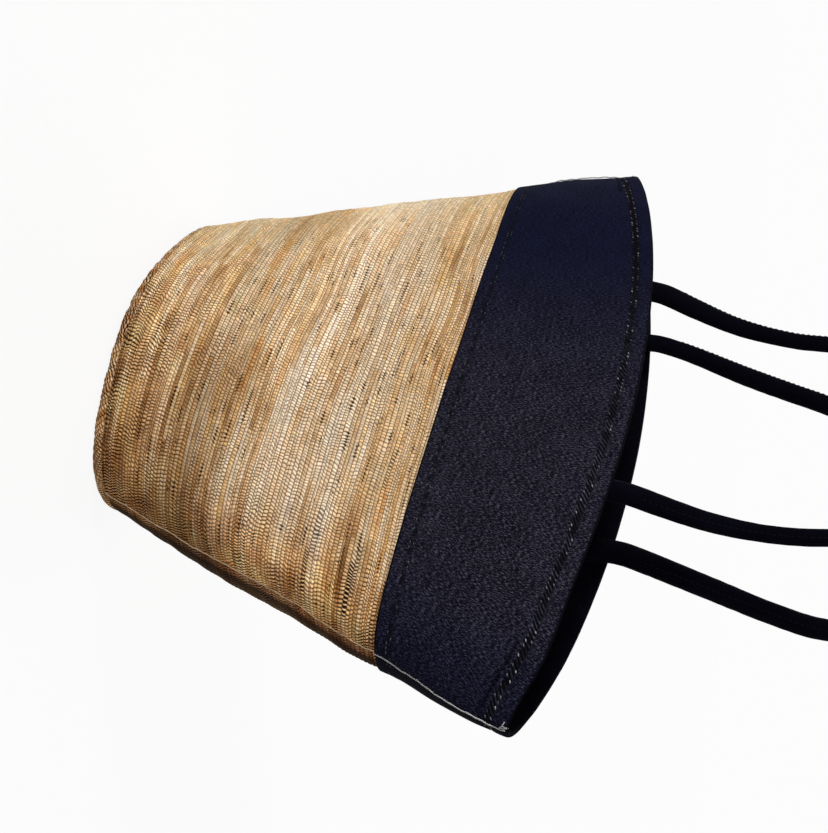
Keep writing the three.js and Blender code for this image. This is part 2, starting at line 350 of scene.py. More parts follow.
def zip_edges(outer, inner):
    """Triangles between two rows of point numbers that run the same way."""
    faces = []
    i = j = 0
    while i < len(outer) - 1 or j < len(inner) - 1:
        outer_share = (i + 1) / max(len(outer) - 1, 1)
        inner_share = (j + 1) / max(len(inner) - 1, 1)
        if j >= len(inner) - 1 or (i < len(outer) - 1 and outer_share <= inner_share):
            faces.append((outer[i], outer[i + 1], inner[j]))
            i += 1
        else:
            faces.append((outer[i], inner[j + 1], inner[j]))
            j += 1
    return faces


def cloth(half, name, outer, inner, outer_uv, inner_uv, material, slot, node):
    """A closed sheet of cloth between an outer and an inner grid of points. Both have
    the same columns and run from the lower edge up. The names follow the half's."""
    loop = np.concatenate([outer, inner[::-1]])
    uv = np.concatenate([outer_uv, inner_uv[::-1]])
    rows, columns = loop.shape[:2]
    faces = grid_faces(rows, columns, closed_rows=True).tolist()
    for column, turned in ((0, False), (columns - 1, True)):
        outside = [row * columns + column for row in range(len(outer))]
        inside = [row * columns + column for row in range(rows - 1, len(outer) - 1, -1)]
        edge = zip_edges(outside, inside)
        faces += [face[::-1] if turned else face for face in edge]
    if half["sign"] < 0:
        faces = [face[::-1] for face in faces]
    side = half["name"]
    return make_mesh(f"{side}_{name}", loop, faces, uv, material, node=f"{side}_{node}")


def path_frames(path, normal):
    """Unit tangents and two cross directions, carried along a path without twist."""
    tangent = unit(np.gradient(path, axis=0))
    normals = []
    normal = np.asarray(normal, dtype=float)
    for direction in tangent:
        normal = normal - direction * normal.dot(direction)
        normal = normal / np.linalg.norm(normal)
        normals.append(normal)
    normals = np.array(normals)
    return normals, np.cross(tangent, normals)


def tube(name, path, radius, sides, material, body="bag"):
    """A round thread or cord along a path, closed at both ends."""
    path = np.asarray(path, dtype=float)
    turn = full_turn(sides)
    points = path[:, None] + radius * ring(*path_frames(path, (0, 1, 0)), turn)
    uv = pair(distances(path)[:, None], turn[None, :])
    return make_mesh(name, points, tube_faces(len(path), sides), uv, material, body)


# A stitch's stations along its length, with its width and its lift at each
STITCH_SIDES = 5
STITCH_STATIONS = np.array([-0.5, -0.42, -0.2, 0.2, 0.42, 0.5])
STITCH_WIDTHS = np.array([0.25, 0.8, 1.0, 1.0, 0.8, 0.25])
STITCH_LIFTS = np.array([-0.9, -0.1, 0.35, 0.35, -0.1, -0.9])


def stitches(name, places, along, proud, radius, material, slot, body="bag", first=0):
    """Short sewn stitches, one mesh for a row: each is a slim bead that dips at its ends."""
    along = unit(along)
    proud = unit(proud - along * (proud * along).sum(1, keepdims=True))
    shift = along[:, None] * (STITCH_STATIONS * STITCH_LENGTH)[None, :, None]
    centre = places[:, None] + shift + proud[:, None] * (STITCH_LIFTS * radius)[None, :, None]
    around = ring(proud, np.cross(along, proud), full_turn(STITCH_SIDES))
    points = centre[:, :, None] + around[:, None] * (STITCH_WIDTHS * radius)[None, :, None, None]
    one = tube_faces(len(STITCH_STATIONS), STITCH_SIDES)
    step = len(STITCH_STATIONS) * STITCH_SIDES
    faces = [[corner + k * step for corner in face] for k in range(len(places)) for face in one]
    number = np.repeat(np.arange(len(places)) + first + 0.5, step)
    lengthwise = np.tile(np.repeat(STITCH_STATIONS, STITCH_SIDES), len(places))
    return make_mesh(name, points, faces, pair(number, lengthwise), material, body)


# Materials


def shade(red, green, blue):
    """A colour given as seen on a screen, 0 to 255, as the light it stands for."""
    parts = []
    for value in (red, green, blue):
        value = value / 255.0
        parts.append(value / 12.92 if value <= 0.04045 else ((value + 0.055) / 1.055) ** 2.4)
    return (*parts, 1.0)


def put(tree, socket, value):
    """Links a socket to another node's output, or sets its value."""
    if isinstance(value, bpy.types.NodeSocket):
        tree.links.new(value, socket)
    elif value is not None:
        socket.default_value = value


def add_node(tree, kind, *values, **settings):
    """A new node with its settings, and a value or a link for each of its first inputs."""
    node = tree.nodes.new(kind)
    for key, value in settings.items():
        setattr(node, key, value)
    for socket, value in zip(node.inputs, values):
        put(tree, socket, value)
    return node


def cleared_tree(owner):
    owner.use_nodes = True
    owner.node_tree.nodes.clear()
    return owner.node_tree


class Finish:
    """A material made of nodes, with short names for the nodes that it uses most."""

    def __init__(self, name, roughness=0.8, specular=0.2):
        self.material = bpy.data.materials.new(name)
        self.tree = cleared_tree(self.material)
        output = self.node("ShaderNodeOutputMaterial")
        self.shader = self.node("ShaderNodeBsdfPrincipled")
        self.tree.links.new(self.shader.outputs[0], output.inputs[0])
        self.shader.inputs["Roughness"].default_value = roughness
        self.shader.inputs["Specular IOR Level"].default_value = specular
        self.u, self.v = self.places("Weave")

    def places(self, name):
        """The two numbers of a set of cloth coordinates."""
        uv = self.node("ShaderNodeUVMap", uv_map=name)
        split = self.node("ShaderNodeSeparateXYZ", uv.outputs[0])
        return split.outputs[0], split.outputs[1]

    def node(self, kind, *values, **settings):
        return add_node(self.tree, kind, *values, **settings)

    def math(self, operation, *values):
        return self.node("ShaderNodeMath", *values, operation=operation).outputs[0]

    def times(self, *values):
        """A product of two or more."""
        total = values[0]
        for value in values[1:]:
            total = self.math("MULTIPLY", total, value)
        return total

    def plus(self, first, second):
        return self.math("ADD", first, second)

    def least(self, value, amount):
        return self.math("SUBTRACT", value, amount)

    def line(self, value, slope, start):
        """Slope times value, plus start."""
        return self.math("MULTIPLY_ADD", value, slope, start)

    def wave(self, value):
        return self.math("SINE", value)

    def either(self, first, second):
        """The larger of two."""
        return self.math("MAXIMUM", first, second)

    def span(self, value, low, high, to_low=0.0, to_high=1.0):
        """An eased change from to_low to to_high as value goes from low to high."""
        values = (value, low, high, to_low, to_high)
        return self.node("ShaderNodeMapRange", *values, interpolation_type="SMOOTHSTEP").outputs[0]

    def spread(self, value, amount):
        """A value's departure from a half, scaled."""
        return self.times(self.least(value, 0.5), amount)

    def place(self, x, y=0.0, z=0.0):
        return self.node("ShaderNodeCombineXYZ", x, y, z).outputs[0]

    def noise(self, place, scale=1.0, detail=2.0, roughness=0.5):
        node = self.node("ShaderNodeTexNoise")
        inputs = {"Vector": place, "Scale": scale, "Detail": detail, "Roughness": roughness}
        for key, value in inputs.items():
            put(self.tree, node.inputs[key], value)
        return node.outputs[0]

    def cloud(self, across, up, own=0.0, detail=2.0, roughness=0.5):
        """Noise drawn out along the cloth: across and up are how fast it changes."""
        place = self.place(self.times(self.u, across), self.times(self.v, up), own)
        return self.noise(place, 1.0, detail, roughness)

    def chance(self, *numbers):
        """An even random number for each set of numbers."""
        place = self.place(*numbers)
        return self.node("ShaderNodeTexWhiteNoise", place, noise_dimensions="3D").outputs[0]

    def mix(self, share, first, second, blend="MIX"):
        node = self.node("ShaderNodeMix", data_type="RGBA", blend_type=blend)
        for number, value in ((0, share), (6, first), (7, second)):
            put(self.tree, node.inputs[number], value)
        return node.outputs[2]

    def tinted(self, colour, tint, share=1.0):
        return self.mix(share, colour, tint, "MULTIPLY")

    def ramp(self, value, stops, interpolation="LINEAR"):
        node = self.node("ShaderNodeValToRGB", value)
        node.color_ramp.interpolation = interpolation
        elements = node.color_ramp.elements
        while len(elements) < len(stops):
            elements.new(0.5)
        for element, (place, colour) in zip(elements, stops):
            element.position = place
        for element, (place, colour) in zip(elements, stops):
            element.color = colour
        return node.outputs[0]

    def bump(self, height, distance, strength=1.0):
        node = self.node("ShaderNodeBump")
        node.inputs["Strength"].default_value = strength
        node.inputs["Distance"].default_value = distance
        put(self.tree, node.inputs["Height"], height)
        self.tree.links.new(node.outputs[0], self.shader.inputs["Normal"])

    def colour(self, value):
        put(self.tree, self.shader.inputs["Base Color"], value)


# The strands' colours from dark to pale, and the tints that vary them
STRAND_COLOURS = [
    (0.0, shade(132, 94, 58)),
    (0.16, shade(190, 148, 104)),
    (0.34, shade(226, 190, 146)),
    (0.5, shade(240, 212, 176)),
    (0.68, shade(246, 226, 200)),
    (1.0, shade(250, 238, 222)),
]
STRAND_TINTS = [
    (0.24, (1.0, 0.8, 0.6, 1)),
    (0.33, (1.0, 0.9, 0.66, 1)),
    (0.42, (1.0, 0.95, 0.84, 1)),
    (0.52, (1.0, 0.93, 0.88, 1)),
    (0.6, (0.9, 0.88, 0.78, 1)),
    (0.7, (0.82, 0.74, 0.62, 1)),
]


def strand_tone(f, rib, lively):
    """The strand that a place belongs to, and how pale it is there, from 0 to 1."""
    own = f.times(f.chance(rib, 3.7), 17.0)
    strand = f.math("FLOOR", f.line(f.u, 1 / STRAND_LENGTH, own))
    short = f.noise(f.place(f.times(f.u, 0.05), f.times(rib, 3.3), 6.0))
    tone = f.plus(f.spread(f.chance(strand, rib, 1.3), 0.42), f.spread(f.cloud(0.01, 0.2), 0.8))
    tone = f.plus(tone, f.spread(short, 0.6))
    return strand, f.line(tone, lively, 0.5)


def strand_colours(f, rib, strand, tone):
    """Pale to brown strands, each some centimetres long, with golden, pinkish and grey ones."""
    pale_band = f.times(f.span(f.v, 38.0, 53.0), f.span(f.v, 75.0, 60.0))
    pale = f.ramp(f.line(pale_band, 0.1, tone), STRAND_COLOURS)
    hue = f.plus(f.cloud(0.016, 0.3, 3.0), f.spread(f.chance(strand, rib, 8.1), 0.3))
    tint = f.mix(f.times(pale_band, 0.6), f.ramp(hue, STRAND_TINTS), (0.98, 0.96, 0.96, 1))
    return f.tinted(pale, tint)


def bead_steps(f, rib, base):
    """Beads along a rib, half a step apart on neighbouring ribs and a little uneven: how
    high each place stands on its bead, and the bead's number. They lengthen leftwards."""
    half_step = f.times(f.math("MODULO", rib, 2.0), 0.5)
    if base:
        reach = f.times(f.u, 1 / BEAD_LENGTH)
    else:
        grown = f.line(f.places("Seam")[0], BEAD_GROWTH / BEAD_LENGTH, 1.0)
        reach = f.times(f.math("LOGARITHM", grown, math.e), 1 / BEAD_GROWTH)
    own = f.span(f.chance(rib, 9.9), 0.0, 1.0, 0.95, 1.05)
    count = f.line(reach, own, half_step)
    count = f.line(f.cloud(0.06, 0.3, detail=1.0), 3.0, count)
    crest = f.wave(f.times(f.math("FRACT", count), math.pi))
    return crest, f.math("FLOOR", count)


def dotted_gaps(f, crest):
    """Where dark bark shows as rows of dots in the gaps between two ribs."""
    aside = f.plus(f.v, 0.5)
    away = f.math("ABSOLUTE", f.least(f.math("FRACT", aside), 0.5))
    row_place = f.place(f.times(f.u, 0.04), f.times(f.math("FLOOR", aside), 7.3), 4.0)
    row = f.span(f.noise(row_place), 0.61, 0.65)
    return f.times(f.span(away, 0.44, 0.22), f.span(crest, 1.0, 0.6), row)


# Streaks of dark bark on the front wall: the rib that each one fills, the distances from
# the right seam between which it runs, and how dark it is
BARK_STREAKS = [
    (74, 15.0, 40.0, 0.95),
    (75, 26.0, 50.0, 0.6),
    (63, 14.0, 34.0, 0.8),
    (64, 34.0, 60.0, 0.5),
    (77, 92.0, 112.0, 0.6),
]


def bark_streaks(f, crest):
    from_right = f.places("Seam")[0]
    total = 0.0
    for rib, near, far, amount in BARK_STREAKS:
        across = f.times(f.span(f.v, rib, rib + 0.1), f.span(f.v, rib + 1, rib + 0.9))
        until = f.span(from_right, far + 6.0, far, 0.0, amount)
        reach = f.times(f.span(from_right, near - 3.0, near), until)
        total = f.either(f.times(across, reach), total)
    return f.times(total, f.span(f.u, 1010.0, 990.0), f.span(crest, 1.0, 0.8))


def bark_flecks(f):
    """Small dark flecks, more of them in some places than in others."""
    nub = f.cloud(0.5, 1.3, 15.0, detail=1.0)
    return f.span(f.plus(nub, f.spread(f.cloud(0.05, 0.25, 12.0), 0.5)), 0.73, 0.77)


def weave_coarseness(f, base):
    """How coarse and dark-gapped the weave looks, fully so at the base and the right seam,
    and how lively its strands are, which are even beside the left seam."""
    if base:
        return f.span(f.v, 12.0, 42.0), 1.0
    from_right, from_left = f.places("Seam")
    near_base = f.times(f.span(f.v, 0.0, 38.0, 1.0, 0.0), f.span(from_left, 50.0, 190.0))
    coarse = f.either(near_base, f.span(from_right, 68.0, 8.0))
    return coarse, f.span(from_left, 20.0, 140.0, 0.4, 1.0)


def painted_seam_shade(f, far, near, start=-2.0, full=-1.0):
    """Where shade is painted on the back wall beside the right seam, between two distances from
    it. The back wall's u passes 1000."""
    from_right = f.places("Seam")[0]
    at_back = f.times(f.span(f.u, 990.0, 1010.0), f.span(from_right, start, full))
    return f.times(at_back, f.span(from_right, far, near))


# Large soft patches where the weave of the walls is paler or darker: the ribs over which each
# starts and ends, the side seam that it is placed from (0 right, 1 left), the distances from
# that seam over which it starts, and its tint
WALL_PATCHES = [
    ((-2.0, -1.0), (28.0, 17.0), 1, (300.0, 150.0), (1.25, 1.38, 1.55, 1)),
    ((-2.0, -1.0), (32.0, 10.0), 1, (170.0, 250.0), (0.79, 0.75, 0.69, 1)),
    ((-2.0, -1.0), (36.0, 22.0), 0, (76.0, 32.0), (0.84, 0.8, 0.75, 1)),
    ((14.0, 25.0), (42.0, 32.0), 0, (150.0, 105.0), (0.75, 0.73, 0.71, 1)),
    ((34.0, 42.0), (62.0, 53.0), 0, (100.0, 165.0), (1.17, 1.2, 1.25, 1)),
    ((34.0, 44.0), (82.0, 66.0), 0, (42.0, 18.0), (1.3, 1.27, 1.15, 1)),
    ((-2.0, -1.0), (50.0, 30.0), 1, (125.0, 70.0), (0.85, 0.86, 0.87, 1)),
    ((-2.0, -1.0), (26.0, 12.0), 1, (110.0, 170.0), (1.14, 1.15, 1.16, 1)),
]


def wall_patches(f, strands):
    seams = f.places("Seam")
    for start, end, seam, reach, tint in WALL_PATCHES:
        share = f.times(f.span(f.v, *start), f.span(f.v, *end), f.span(seams[seam], *reach))
        strands = f.tinted(strands, tint, share)
    return strands


def wall_marks(f, strands, crest, even):
    """What the walls have and the base hasn't: streaks, patches, and painted shade in the crease along the
    base and on the back wall beside the right seam.
    """
    strands = f.mix(bark_streaks(f, crest), strands, shade(30, 15, 10))
    strands = wall_patches(f, strands)
    strands = f.tinted(strands, (0.9, 0.82, 0.68, 1), even)
    # Painted shade in the crease along the base, patchy, and weaker towards the left seam
    base_crease_shade = f.times(f.span(f.v, 5.0, 0.8), f.span(f.cloud(0.06, 0.2, 31.0), 0.38, 0.6))
    base_crease_shade = f.times(base_crease_shade, f.span(f.places("Seam")[1], 130.0, 210.0, 0.3, 1.0))
    strands = f.tinted(strands, (0.34, 0.28, 0.25, 1), base_crease_shade)
    # Painted shade on the back wall beside the right seam: dimmer right next to it, near black from about 8
    # to 18 mm away
    beside = f.times(painted_seam_shade(f, 18.0, 8.0), f.span(f.v, 8.0, 30.0, 0.3, 1.0))
    strands = f.tinted(strands, (0.5, 0.42, 0.42, 1), beside)
    return f.tinted(strands, (0.16, 0.16, 0.18, 1), painted_seam_shade(f, 32.0, 18.0, 3.0, 8.0))


def fibre_finish(name, low_tints, base=False):
    """Woven banana fibre. u is the distance along a rib and v counts ribs. The strands turn
    browner, with darker gaps, where they are coarse, in clouds of low_tints."""
    f = Finish(name, specular=0.03)
    rib, within = f.math("FLOOR", f.v), f.math("FRACT", f.v)
    coarse, lively = weave_coarseness(f, base)
    calm = f.least(1.0, lively)
    even = 0.0 if base else f.span(f.places("Seam")[1], 190.0, 50.0)
    strand, tone = strand_tone(f, rib, lively)
    tone = f.line(coarse, -0.05, f.line(calm, 0.2, tone))
    strands = strand_colours(f, rib, strand, tone)
    # Fine fibres along each strand, each bead's own lightness, and a painted highlight on each bead's crest
    fine = f.cloud(0.3, 5.0, detail=3.0, roughness=0.65)
    crest, bead = bead_steps(f, rib, base)
    beaded = f.span(f.chance(strand, rib, 2.2), 0.05, 0.25, 0.5, 1.0)
    tone_and_highlight = f.times(f.span(fine, 0.3, 0.7, 0.8, 1.12), f.line(f.chance(bead, rib, 5.5), 0.3, 0.88))
    # Painted highlight: paler towards each bead's crest
    tone_and_highlight = f.times(tone_and_highlight, f.line(f.times(crest, beaded), 0.5, 0.78))
    strands = f.tinted(strands, f.place(tone_and_highlight, tone_and_highlight, tone_and_highlight))
    # Gaps between beads, darkened as painted shade in their recesses, faint in places and dark towards the
    # base and the right seam
    patchy = f.cloud(0.035, 0.14, 8.0)
    crisp = f.times(f.span(patchy, 0.35, 0.6, 0.38, 0.9), beaded, f.line(even, -0.75, 1.0))
    dark = f.times(coarse, f.span(patchy, 0.4, 0.6, 0.7, 1.0))
    between = f.span(f.least(crest, f.line(dark, 0.28, 0.64)), 0.0, -0.5)
    gap_colour = f.mix(dark, shade(118, 82, 46), shade(24, 9, 1))
    strands = f.mix(f.times(between, f.either(crisp, dark)), strands, gap_colour)
    # Gaps between ribs, darkened as painted shade in their recesses, and a finer one along the middle of
    # some strands
    arch = f.wave(f.times(within, math.pi))
    deep = f.times(f.span(f.least(arch, 0.54), 0.0, -0.42), f.line(lively, 0.6, 0.2))
    deep = f.times(deep, f.line(dark, -0.35, 1.0), f.line(even, -0.45, 1.0))
    strands = f.mix(deep, strands, f.mix(dark, shade(110, 76, 44), shade(44, 20, 6)))
    parted = f.span(f.chance(strand, rib, 6.6), 0.5, 0.6, 0.0, 0.5)
    middle = f.span(f.math("ABSOLUTE", f.least(within, 0.5)), 0.13, 0.02)
    strands = f.mix(f.times(parted, middle), strands, shade(136, 100, 62))
    # Paler and bluer where the weave is calm beside the left seam, a painted sheen; dark dots and flecks,
    # and browner clouds where it is coarse
    painted_left_sheen = f.times(calm, f.span(f.v, 30.0, 60.0, 0.25, 1.0))
    strands = f.tinted(strands, f.mix(painted_left_sheen, (1, 1, 1, 1), (1.2, 1.38, 1.6, 1)))
    dots = f.times(dotted_gaps(f, crest), f.line(even, -0.6, 0.92))
    strands = f.mix(dots, strands, shade(36, 19, 9))
    strands = f.mix(f.times(bark_flecks(f), 0.75), strands, shade(78, 46, 22))
    low_colour = f.ramp(f.cloud(0.045, 0.11, 20.0), list(zip((0.35, 0.5, 0.62), low_tints)))
    strands = f.tinted(strands, f.mix(coarse, (1, 1, 1, 1), low_colour))
    if not base:
        strands = wall_marks(f, strands, crest, even)
    f.colour(strands)
    put(f.tree, f.shader.inputs["Roughness"], f.span(fine, 0.2, 0.8, 0.82, 0.62))
    height = f.line(fine, 0.25, f.times(crest, beaded))
    f.bump(f.line(arch, 0.3, height), 0.0004)
    return f.material


def plain_weave(f, rate):
    """The over and under of fine cloth, by how fast its threads follow one another."""
    return f.times(f.wave(f.times(f.u, rate)), f.wave(f.times(f.v, rate)))


def ladder_thread(f, cloth_colour, painted_sheen):
    """A dark ladder of thread between the two rows of stitches under the rim."""
    low, high = -RIM_ROWS[1], -RIM_ROWS[0]
    ladder = f.times(f.span(f.v, low - 1.0, low - 0.2), f.span(f.v, high + 0.8, high + 0.1))
    slant = f.line(f.v, 2.6, f.times(f.u, 2 * math.pi / RIM_STITCH))
    rungs = f.span(f.wave(slant), 0.1, 0.9)
    rung = f.math("FLOOR", f.line(f.u, 1 / RIM_STITCH, 0.2))
    # The rungs are paler where the sheen is painted
    pale = f.times(rungs, painted_sheen, f.chance(rung, 6.0))
    return f.mix(ladder, cloth_colour, f.mix(pale, shade(4, 4, 9), shade(66, 66, 80)))


def navy_finish(name):
    """The yoke's navy cotton: u is the distance along the cloth and v the height from the
    rim. It is bluish, and greyer with pale specks right of the middle, where a sheen is painted."""
    f = Finish(name, roughness=0.88, specular=0.04)
    # Painted sheen: greyer and paler right of the middle
    painted_sheen = f.times(f.span(f.u, -232.0, -150.0, 0.35, 1.0), f.span(f.u, 110.0, -60.0))
    tone = f.line(f.least(f.cloud(1.9, 0.5, detail=1.0), 0.5), 1.2, 0.5)
    tone = f.line(f.least(f.cloud(1.3, 2.2, 5.0, detail=1.0), 0.5), 0.6, tone)
    tone = f.line(f.least(f.noise(f.place(f.u, f.v, 9.0), 0.07, 3.0), 0.5), 0.14, tone)
    blue = [(0.38, shade(5, 6, 20)), (0.52, shade(12, 14, 34)), (0.7, shade(26, 28, 56))]
    grey = [(0.38, shade(6, 6, 16)), (0.53, shade(23, 22, 34)), (0.76, shade(78, 76, 90))]
    cloth_colour = f.mix(painted_sheen, f.ramp(tone, blue), f.ramp(tone, grey))
    cloth_colour = ladder_thread(f, cloth_colour, painted_sheen)
    # A faint dark band along the stitched rows above the lower edge, and painted shade along the folded
    # edges and on the back beside the right seam
    above, at_back = f.places("Edge")
    low, high = EDGE_ROWS
    sewn = f.times(f.span(above, low - 0.8, low + 0.2), f.span(above, high + 0.8, high))
    smudge = f.noise(f.place(f.times(f.u, 0.16), 3.0, 4.0))
    sewn = f.times(sewn, f.span(smudge, 0.42, 0.6, 0.12, 0.85))
    cloth_colour = f.mix(sewn, cloth_colour, shade(8, 8, 15))
    # Painted shade: near black within a millimetre or so of the rim and of the lower fold, and on the back
    # yoke beside the right seam
    edge = f.either(f.span(f.v, -1.5, -0.3), f.span(above, 1.3, 0.6))
    yoke_seam_shade = f.times(at_back, f.span(f.u, -196.0, -212.0))
    edge = f.either(edge, f.times(yoke_seam_shade, 0.85))
    f.colour(f.mix(edge, cloth_colour, shade(3, 3, 8)))
    f.bump(f.line(plain_weave(f, 7.5), 0.3, tone), 0.00015, 0.8)
    return f.material


def cotton_finish(name, dark, light, thread=0.42, specular=0.08, grain=1.0):
    """Plain cotton: u and v are millimetres on the cloth."""
    f = Finish(name, roughness=0.85, specular=specular)
    weave = plain_weave(f, math.pi / thread)
    speck = f.noise(f.place(f.u, f.v, 2.0), 1.1 / grain, 2.0, 0.7)
    patch = f.noise(f.place(f.u, f.v, 9.0), 0.03)
    tone = f.line(f.least(f.cloud(0.12, 1.2), 0.5), 0.35, speck)
    tone = f.line(f.least(patch, 0.5), 0.5, tone)
    tone = f.line(weave, 0.06, tone)
    middle = tuple(lerp(a, b, 0.35) for a, b in zip(dark, light))
    f.colour(f.ramp(tone, [(0.28, dark), (0.55, middle), (0.82, light)]))
    f.bump(f.line(weave, 0.35, f.times(speck, 0.8)), 0.00012, 0.8)
    return f.material


def thread_finish(name, greys):
    """Sewing thread. Each stitch, counted by u, takes its own colour from a row of them, and is painted
    darker at one end and paler towards the other, a painted shade and highlight.
    """
    f = Finish(name, roughness=0.7, specular=0.1)
    pick = f.chance(f.math("FLOOR", f.u), 2.0)
    twist = f.wave(f.line(f.v, 22.0, f.times(f.u, 1.3)))
    steps = [(k / len(greys), colour) for k, colour in enumerate(greys)]
    # Painted shade and highlight along each stitch
    tone_and_highlight = f.span(f.v, -0.5, 0.35, 0.35, 1.1)
    f.colour(f.tinted(f.ramp(pick, steps, "CONSTANT"), f.place(tone_and_highlight, tone_and_highlight, tone_and_highlight)))
    f.bump(twist, 0.0001, 0.6)
    return f.material


def cord_finish(name, low, high, twist_length):
    """A twisted thread or cord: u is the distance along it and v the turn round it."""
    f = Finish(name, specular=0.15)
    twist = f.wave(f.line(f.u, 2 * math.pi / twist_length, f.times(f.v, 2.0)))
    tone = f.line(twist, 0.25, f.noise(f.place(f.times(f.u, 0.4), f.v)))
    f.colour(f.ramp(tone, [(0.25, low), (0.7, high)]))
    f.bump(twist, 0.0002, 0.7)
    return f.material


def board_finish(name):
    f = Finish(name, roughness=0.95, specular=0.1)
    pulp = f.noise(f.node("ShaderNodeTexCoord").outputs["Object"], 900.0, 3.0, 0.7)
    f.colour(f.ramp(pulp, [(0.3, shade(150, 128, 98)), (0.7, shade(196, 172, 138))]))
    f.bump(pulp, 0.0002, 0.5)
    return f.material


LOW_TINTS = [(0.62, 0.44, 0.32, 1), (0.84, 0.68, 0.52, 1), (0.94, 0.86, 0.68, 1)]
BASE_TINTS = [(0.6, 0.42, 0.32, 1), (0.8, 0.64, 0.5, 1), (0.95, 0.84, 0.7, 1)]
FIBRE = fibre_finish("fibre_weave", LOW_TINTS)
BASE_FIBRE = fibre_finish("base_fibre_weave", BASE_TINTS, base=True)
NAVY = navy_finish("navy_canvas")
# The facing's near-black colour is its dark navy cloth with painted shade from inside the mouth
FACING = cotton_finish("facing_canvas", shade(1, 1, 4), shade(15, 14, 25), specular=0.02)
LINING = cotton_finish("lining_cloth", shade(10, 10, 18), shade(44, 44, 56), 0.35)
HANDLE = cotton_finish("handle_cloth", shade(1, 1, 4), shade(13, 12, 24), 0.38, 0.02, 0.7)
TAPE = cotton_finish("binding_ribbed", shade(14, 14, 20), shade(58, 58, 66), 0.6)
DARK = shade(7, 7, 14)
# Paler greys among the dark ones, here and in the handle's stitches, are painted glints on some stitches
EDGE_GREYS = [shade(3, 3, 8), shade(8, 8, 16), shade(3, 3, 8), shade(96, 98, 104)]
RIM_GREYS = [DARK, shade(84, 84, 94), DARK, shade(140, 140, 148), shade(26, 26, 38)]
RIM_GREYS += [DARK, shade(56, 56, 68), shade(196, 196, 200), DARK, shade(104, 104, 114)]
DARK_THREAD = thread_finish("dark_stitch", EDGE_GREYS)
RIM_THREAD = thread_finish("rim_stitch", RIM_GREYS)
HANDLE_THREAD = thread_finish("handle_stitch", [DARK] * 8 + [shade(110, 110, 116)])
TAN_THREAD = cord_finish("tan_seam_thread", shade(234, 194, 148), shade(252, 226, 190), 1.4)
PALE_THREAD = cord_finish("pale_seam_thread", shade(140, 138, 138), shade(224, 221, 218), 1.2)
FILLER = cord_finish("filler_cord", shade(196, 186, 160), shade(232, 226, 206), 9.0)
BOARD = board_finish("pressed_board")


# Fibre walls


def rib_edges(seed, low, high):
    """Heights of the edges of the ribs, from low up past high, at uneven steps."""
    random = np.random.default_rng(seed)
    edges = [low]
    while edges[-1] < high:
        edges.append(edges[-1] + RIB_PITCH * random.choice(RIB_SHARES) * random.uniform(0.93, 1.07))
    return np.array(edges)


def rib_crest(count):
    """How high a place stands on its rib, where count counts ribs."""
    return np.sin(math.pi * (count - np.floor(count))) ** RIB_ROUNDNESS


def fibre_wall(half):
    seed = half["seed"]
    low = SEAM_HEIGHT + CLEARANCE / 2
    high = YOKE_EDGE_HEIGHT + YOKE_LAP - 0.5
    edges = rib_edges(seed, low, high)
    count = np.arange((len(edges) - 1) * RIB_STEPS + 1) / RIB_STEPS
    levels = np.interp(count, np.arange(len(edges)), edges)
    kept = levels < high
    count = np.append(count[kept], np.interp(high, levels, count))
    levels = np.append(levels[kept], high)
    shares = np.linspace(0, 1, WALL_COLUMNS)
    angles, arcs = even_columns(half, levels, shares)
    free = (smooth(0, 12, levels - low) * smooth(0, 10, high - levels))[:, None]
    grid = wall(half, angles, levels[:, None] + 0.55 * free * ripple(seed + 1, arcs, levels[:, None], 95.0))
    uneven = 1.0 + 0.35 * ripple(seed + 2, arcs, 9.0 * np.floor(count)[:, None], 46.0)
    lift = np.minimum(RIB_HEIGHT * (rib_crest(count)[:, None] * uneven - 0.55), 0.42)
    grid = grid + outward(half, grid) * lift[..., None]
    back_levels = np.linspace(low, high, 26)
    back_angles, back_arcs = even_columns(half, back_levels, shares)
    inner = wall(half, back_angles, back_levels[:, None], FIBRE_CLOTH - 0.1)
    aside = 500.0 if half["sign"] < 0 else 1500.0
    outer_uv = pair(arcs + aside, count[:, None])
    inner_uv = pair(back_arcs + aside, np.interp(back_levels, levels, count)[:, None])
    names = ("fibre_cloth", "fibre_panel")
    piece = cloth(half, "fibre_wall", grid, inner, outer_uv, inner_uv, FIBRE, *names)
    reaches = np.concatenate([arcs, back_arcs[::-1]])
    add_places(piece.data, "Seam", pair(reaches - reaches[:, :1], reaches[:, -1:] - reaches))


def base_outline():
    """Angles at equal steps round the base's oval."""
    dense = np.linspace(0, 2 * math.pi, 4001)
    x = BASE_WIDTH / 2 * np.cos(dense)
    y = BASE_DEPTH / 2 * np.sin(dense)
    arc = np.concatenate([[0], np.cumsum(np.hypot(np.diff(x), np.diff(y)))])
    return np.interp(np.linspace(0, arc[-1], BASE_COLUMNS, endpoint=False), arc, dense)


def base_ring(t, inset, share, height):
    """An oval drawn in by an inset from the base's outline, and scaled by a share."""
    x = (BASE_WIDTH / 2 - inset) * np.cos(t) * share
    y = (BASE_DEPTH / 2 - inset) * np.sin(t) * share
    return np.stack([x, y, 0 * x + height], -1)


